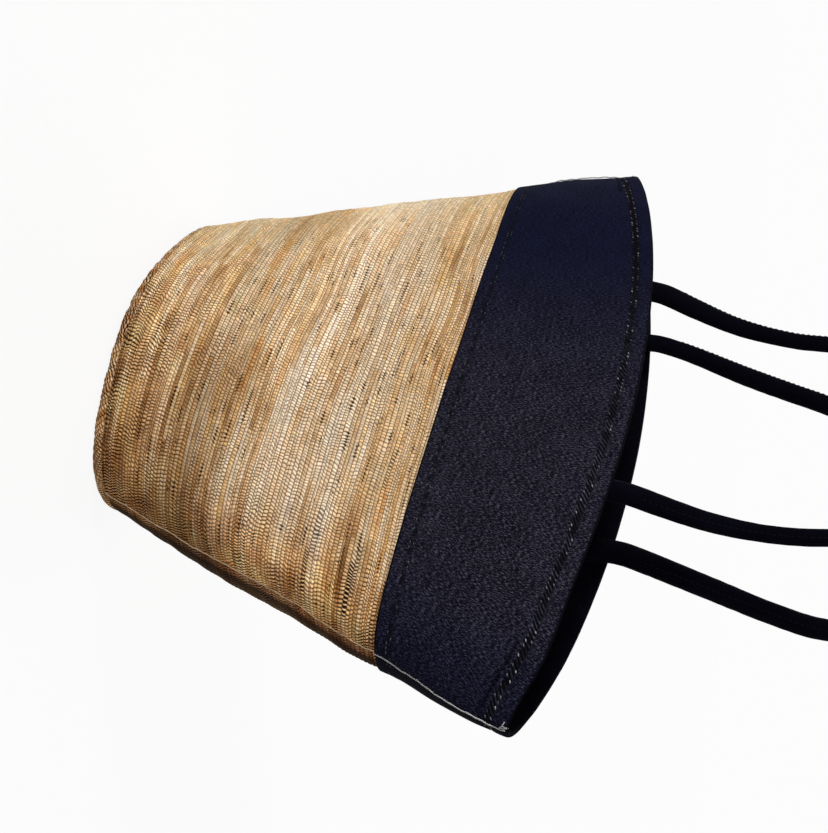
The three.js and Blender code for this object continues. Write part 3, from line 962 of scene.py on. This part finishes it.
def ribbed_rings(t):
    """Points and cloth places of the base's rounded corner, from its upper edge to where it
    is flat. The ribs run from front to back and turn up round the corner."""
    facing = unit(np.stack([np.cos(t) / (BASE_WIDTH / 2), np.sin(t) / (BASE_DEPTH / 2)], -1))
    flat = base_ring(t, CORNER_RADIUS, 1.0, 0.0)[:, :2]
    # Each row: inset from the outline, height, turn of the surface, reach of the unrolled cloth
    rows = [(0.0, SEAM_TOP, math.pi / 2, CORNER_RADIUS * math.pi / 2 + SEAM_UPRIGHT)]
    for turn in np.radians(np.linspace(90, 0, 22)):
        inset, height = CORNER_RADIUS * (1 - math.sin(turn)), CORNER_RADIUS * (1 - math.cos(turn))
        rows.append((inset, height, turn, CORNER_RADIUS * turn))
    rings = []
    for inset, height, turn, reach in rows:
        spread = flat + facing * reach
        count = spread[:, 0] / BASE_RIB_PITCH + BASE_RIB_START
        uneven = 1 + 0.4 * ripple(21, spread[:, 1], 9 * np.floor(count), 30.0)
        lift = np.minimum(RIB_HEIGHT * 1.5 * (rib_crest(count) * uneven - 0.75), 0.35)
        lift = lift * (0.0 if turn == 0 else 1.0)
        points = base_ring(t, inset, 1.0, height)
        points[:, :2] += facing * math.sin(turn) * lift[:, None]
        points[:, 2] = np.maximum(points[:, 2] - math.cos(turn) * lift, 0.0)
        rings.append((points, pair(spread[:, 1], count)))
    return rings


def plain_rings(t, rows):
    rings = []
    for row in rows:
        points = base_ring(t, *row)
        rings.append((points, pair(points[:, 1], points[:, 0] / BASE_RIB_PITCH + BASE_RIB_START)))
    return rings


def fibre_base():
    """The oval base, turned up all round: its ribbed corner and underside, then its inner face."""
    t = base_outline()
    under = [(CORNER_RADIUS, share, 0.0) for share in (0.93, 0.85, 0.72, 0.55, 0.36, 0.16)]
    inner = [(CORNER_RADIUS, share, FIBRE_CLOTH) for share in (0.3, 0.7, 1.0)]
    for turn in np.radians((30, 60, 90)):
        inset = CORNER_RADIUS - (CORNER_RADIUS - FIBRE_CLOTH) * math.sin(turn)
        inner.append((inset, 1.0, CORNER_RADIUS - (CORNER_RADIUS - FIBRE_CLOTH) * math.cos(turn)))
    inner.append((FIBRE_CLOTH, 1.0, SEAM_TOP))
    outer = ribbed_rings(t) + plain_rings(t, under)
    rings = outer + plain_rings(t, inner)
    points = soften(np.stack([points for points, _ in rings])).reshape(-1, 3).tolist()
    uv = np.stack([places for _, places in rings]).reshape(-1, 2).tolist()
    columns = BASE_COLUMNS
    quads = grid_faces(len(rings), columns, closed_columns=True)
    between = np.arange((len(outer) - 1) * columns, len(outer) * columns)
    faces = np.delete(quads, between, axis=0)[:, ::-1].tolist()
    edge = np.arange(columns)
    beside = (edge + 1) % columns
    last = (len(rings) - 1) * columns
    faces += np.stack([edge, beside, last + beside, last + edge], -1).tolist()
    for number, height, turned in ((len(outer) - 1, 0.0, True), (len(outer), FIBRE_CLOTH, False)):
        start = number * columns
        fan = np.stack([start + edge, start + beside, 0 * edge + len(points)], -1)
        faces += (fan[:, ::-1] if turned else fan).tolist()
        points.append((0.0, 0.0, height))
        uv.append((0.0, BASE_RIB_START))
    make_mesh("fibre_base_panel", points, faces, uv, BASE_FIBRE, node="fibre_base")


# Yokes and their facings

# Rows of the folded lower edge, as offset in height from it and lift outwards, and rows of
# the hems and over the rim, as offset from the rim and lift
YOKE_FOLD = [
    (0.5, -0.78), (0.12, -0.58), (0.0, -0.25), (0.2, 0.08), (0.7, 0.26), (1.6, 0.3),
    (3.4, 0.24), (5.6, 0.16), (6.5, 0.02), (7.0, -0.2), (7.5, 0.02), (8.0, 0.12),
    (8.5, 0.02), (9.0, -0.2), (9.5, 0.02), (10.5, 0.1), (12.0, 0.04),
]
YOKE_HEM = [
    (-15.4, 0.0), (-13.6, 0.04), (-12.6, -0.1), (-12.0, -0.5), (-11.5, -0.2), (-11.0, 0.0),
    (-10.5, 0.06), (-10.0, 0.0), (-9.5, -0.2), (-9.0, -0.5), (-8.4, -0.04), (-7.4, 0.34),
    (-6.2, 0.48), (-4.6, 0.54), (-2.6, 0.52), (-1.2, 0.38), (-0.4, 0.12), (0.1, -0.25),
    (0.25, -0.6), (0.1, -0.86),
]
FACING_FOLD = [(0.3, -0.3), (1.5, 0.1)]
FACING_HEM = [
    (-14.2, 0.0), (-12.7, 0.05), (-12.0, -0.3), (-11.4, 0.0), (-10.5, 0.1), (-9.6, 0.0),
    (-9.0, -0.3), (-8.3, 0.05), (-6.4, 0.3), (-3.0, 0.42), (-1.2, 0.3), (-0.3, 0.05),
]
YOKE_MIDDLE = 240.0


def yoke_places(half, columns):
    angles, arcs = even_columns(half, [YOKE_MIDDLE], np.linspace(0, 1, columns))
    return angles[0], arcs[0]


def yoke_rows(t, fold, shares, hem):
    """Heights and lifts of rows from the lower edge, over the given shares of the way up,
    to the rim."""
    rows = [(0, *row) for row in fold] + [(share, 0, 0) for share in shares]
    rows = np.array(rows + [(1, *row) for row in hem], dtype=float)
    share, offset, lift = rows.T[..., None]
    z = lerp(yoke_edge(t), rim_height(t), share) + offset
    return z, lift + 0 * z


def puckers(arcs, away, rows, pitch):
    """Dips at the stitch holes, with small ridges between them, near each stitched row."""
    return sum(hump(row, 1.1, away) for row in rows) * np.cos(2 * math.pi * arcs / pitch)


def yoke(half):
    t, arcs = yoke_places(half, 561)
    z, lift = yoke_rows(t, YOKE_FOLD, np.linspace(0.17, 0.82, 15), YOKE_HEM)
    below = rim_height(t) - z
    above = z - yoke_edge(t)
    amid = smooth(9, 16, above) * smooth(13.5, 20, below)
    lift = lift + 0.22 * amid * ripple(half["seed"] + 5, arcs, z, 34.0)
    lift = lift + 0.26 * puckers(arcs, below, RIM_ROWS, RIM_STITCH)
    lift = lift + 0.06 * puckers(arcs, above, EDGE_ROWS, EDGE_STITCH)
    slack = smooth(7.5, 3.0, below) * 0.18 * ripple(half["seed"] + 6, arcs, 0 * z, 24.0)
    outer = wall(half, t, z, YOKE_INSET - lift - slack)
    back_z = yoke_rows(t, [(0.9, 0), (6.0, 0)], (0.3, 0.5, 0.7, 0.9), [(-0.5, 0)])[0]
    inner = wall(half, t, back_z, YOKE_INSET + YOKE_CLOTH)
    uvs = pair(arcs, -below), pair(arcs, back_z - rim_height(t))
    piece = cloth(half, "yoke_cloth", outer, inner, *uvs, NAVY, "navy_cotton", "yoke")
    heights = np.concatenate([above, (back_z - yoke_edge(t))[::-1]])
    add_places(piece.data, "Edge", pair(heights, float(half is BACK)))


def facing_inset(t, z):
    above = np.clip((z - fibre_top(t)) / (rim_height(t) - fibre_top(t)), 0, 1)
    return lerp(FACING_INSET, 0.0, above)


def facing(half):
    """The facing inside the mouth. Its inner face is the one that shows."""
    t, arcs = yoke_places(half, 281)
    z, lift = yoke_rows(t, FACING_FOLD, np.linspace(0.06, 0.84, 15), FACING_HEM)
    below = rim_height(t) - z
    lift = lift + 0.25 * smooth(13.5, 20, below) * ripple(half["seed"] + 8, arcs, z, 40.0)
    lift = lift + 0.1 * puckers(arcs, below, RIM_ROWS, RIM_STITCH)
    shown = wall(half, t, z, facing_inset(t, z) + YOKE_CLOTH + lift)
    back_z = yoke_rows(t, [(0, 0)], (0.3, 0.6, 0.9), [(-0.6, 0), (0.15, 0)])[0]
    hidden = wall(half, t, back_z, facing_inset(t, back_z) + 0.05)
    uvs = pair(arcs, back_z - rim_height(t)), pair(arcs, -below)
    cloth(half, "facing_cloth", hidden, shown, *uvs, FACING, "navy_cotton", "yoke_facing")


def stitch_row(half, name, height, inset, pitch, radius, material, first, slant=0.0):
    """A row of stitches on one half of the bag, at an inset and a height for each angle.
    Each stitch lies at a slant, in degrees, to the row."""

    def at(angle, drop=0.0):
        return wall(half, angle, height(angle) - drop, inset)

    t = yoke_places(half, 1200)[0]
    arc = distances(at(t))
    angle = np.interp(np.arange(arc[-1] * 0.006, arc[-1] * 0.994, pitch), arc, t)
    along = at(angle + 0.002) - at(angle - 0.002)
    rising = at(angle) - at(angle, 1.0)
    proud = np.cross(along, rising) * half["sign"]
    rising = rising * np.linalg.norm(along, axis=1, keepdims=True)
    along = along * math.cos(math.radians(slant)) + rising * math.sin(math.radians(slant))
    name = f"{half['name']}_{name}"
    stitches(name, at(angle), along, proud, radius, material, "navy_cotton", first=first)


def yoke_stitching(half):
    rim = (YOKE_INSET + 0.3, RIM_STITCH, 0.28, RIM_THREAD)
    edge = (YOKE_INSET + 0.08, EDGE_STITCH, 0.2, DARK_THREAD)
    slant = RIM_SLANT * half["sign"]
    firsts = [half["seed"] + 700 * number for number in (1, 2)]
    for number, (below, first) in enumerate(zip(RIM_ROWS, firsts), 1):
        name = f"rim_stitch_row_{number}"
        stitch_row(half, name, lambda t: rim_height(t) - below, *rim, first, slant)
    for number, (above, first) in enumerate(zip(EDGE_ROWS, firsts), 1):
        name = f"yoke_edge_stitch_row_{number}"
        stitch_row(half, name, lambda t: yoke_edge(t) + above, *edge, first)


# Linings, board and bindings


def corner_inset(z):
    below = np.maximum(CORNER_RADIUS - z, 0)
    return CORNER_RADIUS - np.sqrt((CORNER_RADIUS - FIBRE_CLOTH) ** 2 - below**2)


def lining_inset(z):
    return np.maximum(LINING_INSET, corner_inset(z) + 2 * CLEARANCE)


def wall_lining(half):
    t, arcs = yoke_places(half, 121)
    z = lerp(WALL_LINING_BOTTOM, yoke_edge(t) - CLEARANCE, np.linspace(0, 1, 40)[:, None])
    slack = np.clip(0.35 * (1 + ripple(half["seed"] + 12, arcs, z, 60.0)), 0, 0.9)
    slack = slack * smooth(0, 25, z - WALL_LINING_BOTTOM) * smooth(0, 12, yoke_edge(t) - z)
    shown = wall(half, t, z, lining_inset(z) + LINING_CLOTH + slack)
    few = z[::6]
    hidden = wall(half, t, few, lining_inset(few))
    uvs = pair(arcs, few), pair(arcs, z)
    cloth(half, "wall_lining_cloth", hidden, shown, *uvs, LINING, "lining_cotton", "lining")


def base_lining():
    """A loose oval of lining cloth on the board."""
    inset = float(corner_inset(BASE_LINING_BOTTOM)) + CLEARANCE
    t = full_turn(96)
    shares = np.linspace(0.08, 1, 12)
    rings = []
    for face_shares, lift in ((shares, 0.0), (shares[::-1], LINING_CLOTH)):
        for share in face_shares:
            points = base_ring(t, inset, share, BASE_LINING_BOTTOM + lift)
            crease = 0.25 * (1 + ripple(77, points[:, 0], points[:, 1], 55.0))
            points[:, 2] += np.clip(crease * smooth(1.0, 0.8, share), 0, 0.5)
            rings.append(points)
    points = np.concatenate(rings)
    faces = tube_faces(len(rings), len(t))
    flat = points[:, :2]
    make_mesh("base_lining_cloth", points, faces, flat, LINING, node="base_lining")


def binding(sign, side):
    """A tape folded over the seam allowances inside a side seam, with ribbed faces."""
    z = np.arange(WALL_LINING_BOTTOM, SIDE_HEIGHT - CLEARANCE, 1.2)
    outer = half_width_at(z) - lining_inset(z) - LINING_CLOTH - CLEARANCE
    share = np.array([0.0, 0.05, 0.25, 0.5, 0.75, 0.94, 1.0])
    swell = np.array([0.85, 1.0, 0.85, 0.95, 0.85, 0.95, 0.4])
    x = outer[:, None] - BINDING_WIDTH * share
    y = BINDING_THICKNESS / 2 * swell * (1.0 - 0.06 * (np.arange(len(z)) % 2)[:, None])
    z_rows = z[:, None] + 0 * x
    over = np.stack([sign * x, y, z_rows], -1)
    under = np.stack([sign * x, -y, z_rows], -1)[:, ::-1]
    rings = soften(np.concatenate([over, under], axis=1))
    rings[..., 1] += 0.25 * ripple(31, z, 0 * z, 50.0)[:, None]
    faces = [face[:: int(sign)] for face in tube_faces(*rings.shape[:2])]
    uv = pair(x.repeat(2, axis=1), z_rows.repeat(2, axis=1))
    node = f"{side}_seam_binding"
    make_mesh(f"{side}_seam_tape", rings, faces, uv, TAPE, node=node)


# Side seams


def side_seam(sign, side):
    """The thread that shows along a side seam: tan on the fibre, pale on the yoke."""
    t = 0.0 if sign > 0 else math.pi
    z = np.arange(SEAM_HEIGHT + 0.5, YOKE_EDGE_HEIGHT - 0.3, 0.8)
    path = wall(FRONT, t + 0 * z, z, -0.42 + 0.22 * ripple(65, z, 0 * z, 26.0))
    path[:, 1] += -0.6 + 0.4 * ripple(61, z, 0 * z, 11.0)
    path[:, 0] += sign * 0.08 * ripple(62, z, 0 * z, 5.0)
    tube(f"{side}_seam_thread", path, 0.34, 6, TAN_THREAD)
    # The left yoke seam has turned a little to the front
    turned = 0.0 if sign > 0 else -0.17
    z = np.arange(YOKE_EDGE_HEIGHT - 0.5, SIDE_HEIGHT - 0.4, 0.7)
    turned = turned * smooth(YOKE_EDGE_HEIGHT, YOKE_EDGE_HEIGHT + 14, z)
    path = wall(FRONT, t + turned, z, YOKE_INSET - 0.3)
    path[:, 1] += -0.5 + 0.5 * ripple(63, z, 0 * z, 22.0) + 0.2 * ripple(64, z, 0 * z, 6.0)
    tube(f"{side}_yoke_seam_thread", path, 0.42, 6, PALE_THREAD)


# Frayed ends where the seam threads stop at the corners of the mouth, each by its reach
RIGHT_TUFT = [(0.0, -1.4, 4.4), (-0.5, -2.6, 3.0), (0.2, -0.2, 5.0), (-0.6, -3.4, 3.8)]
LEFT_TUFT = [(-1.2, -0.6, 0.4), (-1.0, 0.4, 0.9), (-0.8, -0.4, -1.2)]


def corner_tuft(side, start, reaches, seed, radius, material):
    share = np.linspace(0, 1, 16)[:, None]
    for number, reach in enumerate(reaches, 1):
        bend = np.random.default_rng(seed + number).normal(size=(2, 3))
        path = start + np.array(reach) * share + 0.6 * bend[0] * share**2
        path = path + 0.6 * bend[1] * np.sin(4 * share) * share
        tube(f"{side}_corner_thread_{number}", path, radius, 5, material)


def corner_tufts():
    right = wall(FRONT, 0.0, np.array(SIDE_HEIGHT - 5.0), YOKE_INSET - 0.2)
    right = right + np.array([0.5, -0.6, 1.0])
    corner_tuft("right", right, RIGHT_TUFT, 80, 0.3, PALE_THREAD)
    left = wall(FRONT, math.pi, np.array(SIDE_HEIGHT - 1.0), YOKE_INSET)
    corner_tuft("left", left, LEFT_TUFT, 90, 0.35, HANDLE)


# Handles


def wall_depth(half, x, z, inset):
    t = math.acos(min(1.0, x / (half_width_at(z) - inset)))
    return float(section(half, t, z, inset)[..., 1])


def pivot_point(handle):
    half, foot = handle["half"], handle["foot"]
    rim = float(rim_height(math.acos(foot / (RIM_WIDTH / 2))))
    depth = half["sign"] * wall_depth(half, foot, rim, YOKE_CLOTH)
    depth = depth - FOOT_GAP - HANDLE_RADIUS
    return np.array([foot, half["sign"] * depth, rim + HANDLE_RADIUS + PIVOT_STANDOFF])


def end_top(handle):
    return pivot_point(handle)[2] - HANDLE_RADIUS - CLEARANCE


def centripetal(points, steps):
    """A smooth curve through points, as the solids' handles follow."""
    points = [np.asarray(p, dtype=float) for p in points]
    places = []
    for i in range(len(points) - 1):
        b, c = points[i], points[i + 1]
        a = points[i - 1] if i > 0 else 2 * points[0] - points[1]
        d = points[i + 2] if i + 2 < len(points) else 2 * points[-1] - points[-2]
        first, second, third = (math.sqrt(np.linalg.norm(q - p)) for p, q in ((a, b), (b, c), (c, d)))
        leave = ((b - a) / first - (c - a) / (first + second) + (c - b) / second) * second
        arrive = ((c - b) / second - (d - b) / (second + third) + (d - c) / third) * second
        for s in np.linspace(0, 1, steps, endpoint=False):
            cubic = (2 * b - 2 * c + leave + arrive) * s**3
            square = (3 * c - 3 * b - 2 * leave - arrive) * s**2
            places.append(b + leave * s + square + cubic)
    places.append(points[-1])
    return np.array(places)


def even_path(path, step):
    arc = distances(path)
    count = max(2, int(round(arc[-1] / step)) + 1)
    return sample(np.linspace(0, arc[-1], count), arc, path)


def handle_arch(handle):
    """The centre line from the right pivot over the arch to the left one."""
    pivot = pivot_point(handle)
    right = [pivot + LEG_HEIGHT * np.array([-inwards, back, up]) for inwards, back, up in handle["leg"]]
    foot = right[-1]
    over = []
    for step in range(1, 6):
        turn = math.pi * step / 6
        rise = ARCH_RISE * math.sin(turn)
        over.append((foot[0] * math.cos(turn), foot[1] + handle["arch_lean"] * rise, foot[2] + rise))
    left = [p * np.array([-1, 1, 1]) for p in reversed(right)]
    return centripetal(right + over + left, 40)


def foot_at(handle, side):
    """How far the foot on side 0, the right, or 1, the left, stands from the middle."""
    shift = handle["foot_shift"][side]
    return handle["foot"] + (shift if side == 0 else -shift)


def end_place(handle, side, z):
    """Centre and half sizes of a handle's sewn end at a height. The centre is given as if
    on the right side."""
    half, x = handle["half"], foot_at(handle, side)
    top = end_top(handle)
    round_share = float(np.clip(1 - (top - z) / END_TAPER, 0, 1))
    half_thick = lerp(END_THICKNESS / 2, HANDLE_RADIUS, round_share)
    half_wide = lerp(END_WIDTH / 2, handle["foot_wide"][side], round_share)
    level = min(z, top)
    t = math.acos(x / half_width_at(level))
    inset = float(facing_inset(t, level)) + YOKE_CLOTH
    seated = half["sign"] * wall_depth(half, x, level, inset) - CLEARANCE - half_thick
    depth = min(seated, lerp(seated, abs(pivot_point(handle)[1]), round_share))
    return np.array([x, half["sign"] * depth, z]), half_wide, half_thick, round_share


def leg_rows(handle, side):
    """Rows of a sewn end and the gap above it: place, half sizes and roundness."""
    top = end_top(handle)
    bottom = top - END_LENGTH
    rows = []
    for z in np.concatenate([np.linspace(bottom, bottom + 2.0, 4), np.linspace(bottom + 4, top, 18)]):
        centre, wide, thick, share = end_place(handle, side, z)
        edge = smooth(-0.6, 2.0, z - bottom)
        rows.append((*centre, wide * lerp(0.86, 1, edge), thick * lerp(0.5, 1, edge), share))
    last = np.array(rows[-1][:3])
    first = np.array([foot_at(handle, side), *pivot_point(handle)[1:]])
    for share in (0.35, 0.7):
        rows.append((*lerp(last, first, share), handle["foot_wide"][side], HANDLE_RADIUS, 1.0))
    return rows


def loose_arch(handle):
    """The arch as the cloth lies: its feet shifted and its legs a little further back. It
    gives the centre line and the height of each place above the pivot."""
    arch = even_path(handle_arch(handle), 2.0)
    above = arch[:, 2] - pivot_point(handle)[2]
    arch[:, 0] += np.where(arch[:, 0] > 0, *handle["foot_shift"]) * smooth(90.0, 0.0, above)
    arch[:, 1] += handle["back_shift"] * smooth(0.0, 90.0, above)
    return arch, above


def handle_stations(handle):
    """Centre, half width, half thickness and roundness from one sewn end to the other."""
    arch, above = loose_arch(handle)
    foot_wide = np.where(arch[:, 0] > 0, *handle["foot_wide"])
    wide = lerp(foot_wide, handle["round"], smooth(0.0, 85.0, above))
    thick = lerp(HANDLE_RADIUS, handle["round"], smooth(8.0, 70.0, above))
    over = np.column_stack([arch, wide, thick, np.ones(len(arch))])
    left = [(-row[0], *row[1:]) for row in reversed(leg_rows(handle, 1))]
    return np.concatenate([np.array(leg_rows(handle, 0)), over, np.array(left)])


def eased_bends(path, arc, height):
    """The path with its bends at a height, one on each leg, made rounder."""
    near = np.exp(-(((arc[:, None] - arc[None, :]) / 8.0) ** 2)) * np.gradient(arc)[None, :]
    even = near @ path / near.sum(axis=1, keepdims=True)
    share = smooth(22.0, 9.0, np.abs(path[:, 2:] - height))
    return lerp(path, even, share)


def squared_off(value, power):
    return np.sign(value) * np.abs(value) ** power


def tube_relief(seed, arc, turn):
    """The tube's seam ridge along its outer side, its lumps, and creases near the ridge."""
    ridge_turn = 1.42 * math.pi + 0.25 * ripple(seed + 30, arc, 0 * arc, 190.0)
    near = np.angle(np.exp(1j * (turn - ridge_turn)))
    ridge = 0.34 * hump(0.0, 0.16, near) - 0.3 * hump(0.34, 0.15, near)
    lumps = 0.1 * ripple(seed + 31, arc, 14 * np.cos(turn), 40.0)
    lumps = lumps + 0.05 * ripple(seed + 32, arc, 9 * np.sin(turn), 11.0)
    crease = 0.07 * np.sin(arc * 2 * math.pi / 3.1 + 2 * turn)
    return ridge + lumps + crease * hump(0.0, 0.6, near)


def handle_tube(handle):
    """One piece of cloth tube: sewn flat at both ends, round over the arch, with a seam
    ridge along its outer side."""
    half = handle["half"]
    rows = handle_stations(handle)
    pivot = pivot_point(handle)
    path = rows[:, :3]
    path = np.where(path[:, 2:] < pivot[2] - 12, soften(path), path)
    arc = distances(path)
    path = eased_bends(path, arc, pivot[2])
    across, side = path_frames(path, (0, 1, 0))
    turn = full_turn(28)[None, :]
    wide, thick, roundness = rows[:, 3:].T[..., None]
    power = lerp(0.6, 1.0, roundness)
    extra = tube_relief(half["seed"], arc[:, None], turn) * roundness**2
    thick_way = thick * squared_off(np.cos(turn), power) + extra * np.cos(turn)
    wide_way = wide * squared_off(np.sin(turn), power) + extra * np.sin(turn)
    points = path[:, None] + across[:, None] * thick_way[..., None]
    points = points + side[:, None] * wide_way[..., None]
    uv = pair(arc[:, None], HANDLE_RADIUS * turn)
    name = f"{half['name']}_handle"
    faces = tube_faces(len(rows), turn.size)
    piece = make_mesh(f"{name}_tube", points, faces, uv, HANDLE, None)
    bend_about(piece)
    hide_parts(f"{name}_cover", f"{name}_right_end", f"{name}_left_end")
    handle_cord(handle)
    handle_seam_stitches(f"{name}_seam_stitches", rows, path, (across, side), arc)


def bend_about(piece):
    """Bakes the piece's placement into its mesh."""
    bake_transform(piece)


def handle_cord(handle):
    path = loose_arch(handle)[0][::2]
    name = f"{handle['half']['name']}_handle_cord"
    piece = tube(f"{name}_filler", path, CORD_RADIUS, 12, FILLER, None)
    bend_about(piece)
    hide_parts(name)


def handle_seam_stitches(name, rows, path, ways, arc):
    """Small stitches beside the tube's seam, above the mouth."""
    places = np.arange(60.0, arc[-1] - 60.0, 3.4)
    rows_of = (path, np.gradient(path, axis=0), -ways[0], ways[1])
    centre, axis, front, flank = (sample(places, arc, vectors) for vectors in rows_of)
    lean = math.radians(40)
    wide = np.interp(places, arc, rows[:, 3])[:, None]
    thick = np.interp(places, arc, rows[:, 4])[:, None]
    proud = front * math.cos(lean) - flank * math.sin(lean)
    centre = centre + front * thick * math.cos(lean) - flank * wide * math.sin(lean)
    piece = stitches(name, centre, axis, proud, 0.2, HANDLE_THREAD, "handle_cotton", None)
    bend_about(piece)


# Corners of the box of stitches on a sewn end: across it, and up from its lower edge
STITCH_BOX = [(-5.4, 3.0), (5.4, 3.0), (5.4, 20.0), (-5.4, 20.0), (-5.4, 3.0)]


def end_stitches(handle):
    """The box of stitches that holds each flat end to the facing."""
    half = handle["half"]
    bottom = end_top(handle) - END_LENGTH
    for number, (sign, side) in enumerate(((1.0, "right"), (-1.0, "left"))):
        centres, alongs = [], []
        for (x0, z0), (x1, z1) in zip(STITCH_BOX, STITCH_BOX[1:]):
            count = int(math.hypot(x1 - x0, z1 - z0) / EDGE_STITCH)
            for share in np.arange(0.5, count) / count:
                z = bottom + lerp(z0, z1, share)
                centre, wide, thick, _ = end_place(handle, number, z)
                x = sign * (centre[0] + lerp(x0, x1, share))
                centres.append(soften(np.array([x, centre[1] - half["sign"] * (thick * 0.94), z])))
                alongs.append((sign * (x1 - x0), 0.0, z1 - z0))
        prouds = np.array([(0.0, -half["sign"], 0.0)] * len(centres))
        name = f"{half['name']}_handle_{side}_end_stitches"
        vectors = np.array(centres), np.array(alongs), prouds
        stitches(name, *vectors, 0.22, HANDLE_THREAD, "handle_cotton")


# Build the bag

for side_half in (FRONT, BACK):
    fibre_wall(side_half)
    yoke(side_half)
    facing(side_half)
    yoke_stitching(side_half)
    wall_lining(side_half)
fibre_base()
base_lining()
SIDES = ((1.0, "right"), (-1.0, "left"))
for side_sign, side_name in SIDES:
    binding(side_sign, side_name)
for side_sign, side_name in SIDES:
    side_seam(side_sign, side_name)
corner_tufts()
for one_handle, handle_body in zip(HANDLES, ("front_handle", "back_handle")):
    handle_tube(one_handle)
    end_stitches(one_handle)

for material_slot in bpy.data.objects["base_board"].material_slots:
    material_slot.material = BOARD


# Floor, light and camera

WHITE = (1, 1, 1, 1)
AMBIENT = 0.26
BACKDROP = 0.974
FLOOR_REACH = 30.0
FLOOR_LEVEL = -0.0005
FLOOR_ALBEDO = 0.16
FLOOR_GLOW = 0.894


def white_floor():
    """A pale floor that reads white to the camera and keeps the bag's soft shadow."""
    mesh = bpy.data.meshes.new("floor")
    signs = ((-1, -1), (1, -1), (1, 1), (-1, 1))
    corners = [(x * FLOOR_REACH, y * FLOOR_REACH, FLOOR_LEVEL) for x, y in signs]
    mesh.from_pydata(corners, [], [(0, 1, 2, 3)])
    floor = bpy.data.objects.new("floor", mesh)
    bpy.context.scene.collection.objects.link(floor)
    material = bpy.data.materials.new("floor_white")
    tree = cleared_tree(material)
    output = add_node(tree, "ShaderNodeOutputMaterial")
    diffuse = add_node(tree, "ShaderNodeBsdfDiffuse", (FLOOR_ALBEDO, FLOOR_ALBEDO, FLOOR_ALBEDO, 1))
    glow = add_node(tree, "ShaderNodeEmission", WHITE, seen_share(tree, FLOOR_GLOW))
    both = add_node(tree, "ShaderNodeAddShader", diffuse.outputs[0], glow.outputs[0])
    tree.links.new(both.outputs[0], output.inputs[0])
    mesh.materials.append(material)


def seen_share(tree, strength):
    """A strength that only the camera, reflections and glass see."""
    path = add_node(tree, "ShaderNodeLightPath")
    total = path.outputs["Is Camera Ray"]
    for ray in ("Is Glossy Ray", "Is Transmission Ray"):
        larger = add_node(tree, "ShaderNodeMath", total, path.outputs[ray], operation="MAXIMUM")
        total = larger.outputs[0]
    return add_node(tree, "ShaderNodeMath", total, strength, operation="MULTIPLY").outputs[0]


def surroundings():
    world = bpy.data.worlds.new("white_room")
    bpy.context.scene.world = world
    tree = cleared_tree(world)
    output = add_node(tree, "ShaderNodeOutputWorld")
    seen = seen_share(tree, BACKDROP - AMBIENT)
    total = add_node(tree, "ShaderNodeMath", AMBIENT, seen, operation="ADD")
    background = add_node(tree, "ShaderNodeBackground", WHITE, total.outputs[0])
    tree.links.new(background.outputs[0], output.inputs[0])


def sun(name, towards, strength, spread):
    """A soft lamp whose light comes from the direction towards."""
    data = bpy.data.lights.new(name, "SUN")
    data.energy = strength
    data.angle = math.radians(spread)
    lamp = bpy.data.objects.new(name, data)
    lamp.rotation_euler = Vector(towards).to_track_quat("Z", "Y").to_euler()
    bpy.context.scene.collection.objects.link(lamp)


def lights():
    sun("key_light", (-0.35, -0.92, 0.12), 1.8, 16)
    sun("side_light", (0.82, -0.54, 0.15), 1.25, 20)
    sun("back_light", (-0.8, 0.6, 0.3), 1.1, 40)


# The camera's place, its directions across and up the picture, and its lens
CAMERA_PLACE = (0.63236, -0.60705, 0.37270)
CAMERA_RIGHT = (-0.23752, 0.08272, 0.96785)
CAMERA_VIEW = (-0.68851, 0.68851, -0.22781)
CAMERA_LENS = 63.339


def camera():
    data = bpy.data.cameras.new("photo_camera")
    data.sensor_width = 36.0
    data.lens = CAMERA_LENS
    data.clip_start = 0.01
    data.clip_end = 200.0
    view = Vector(CAMERA_VIEW).normalized()
    right = Vector(CAMERA_RIGHT)
    right = (right - view * right.dot(view)).normalized()
    up = right.cross(view)
    turn = Matrix((right, up, -view)).transposed()
    piece = bpy.data.objects.new("photo_camera", data)
    piece.matrix_world = Matrix.Translation(CAMERA_PLACE) @ turn.to_4x4()
    bpy.context.scene.collection.objects.link(piece)
    bpy.context.scene.camera = piece


white_floor()
surroundings()
lights()
camera()
bpy.context.scene.view_settings.view_transform = "Standard"

bpy.context.view_layer.update()
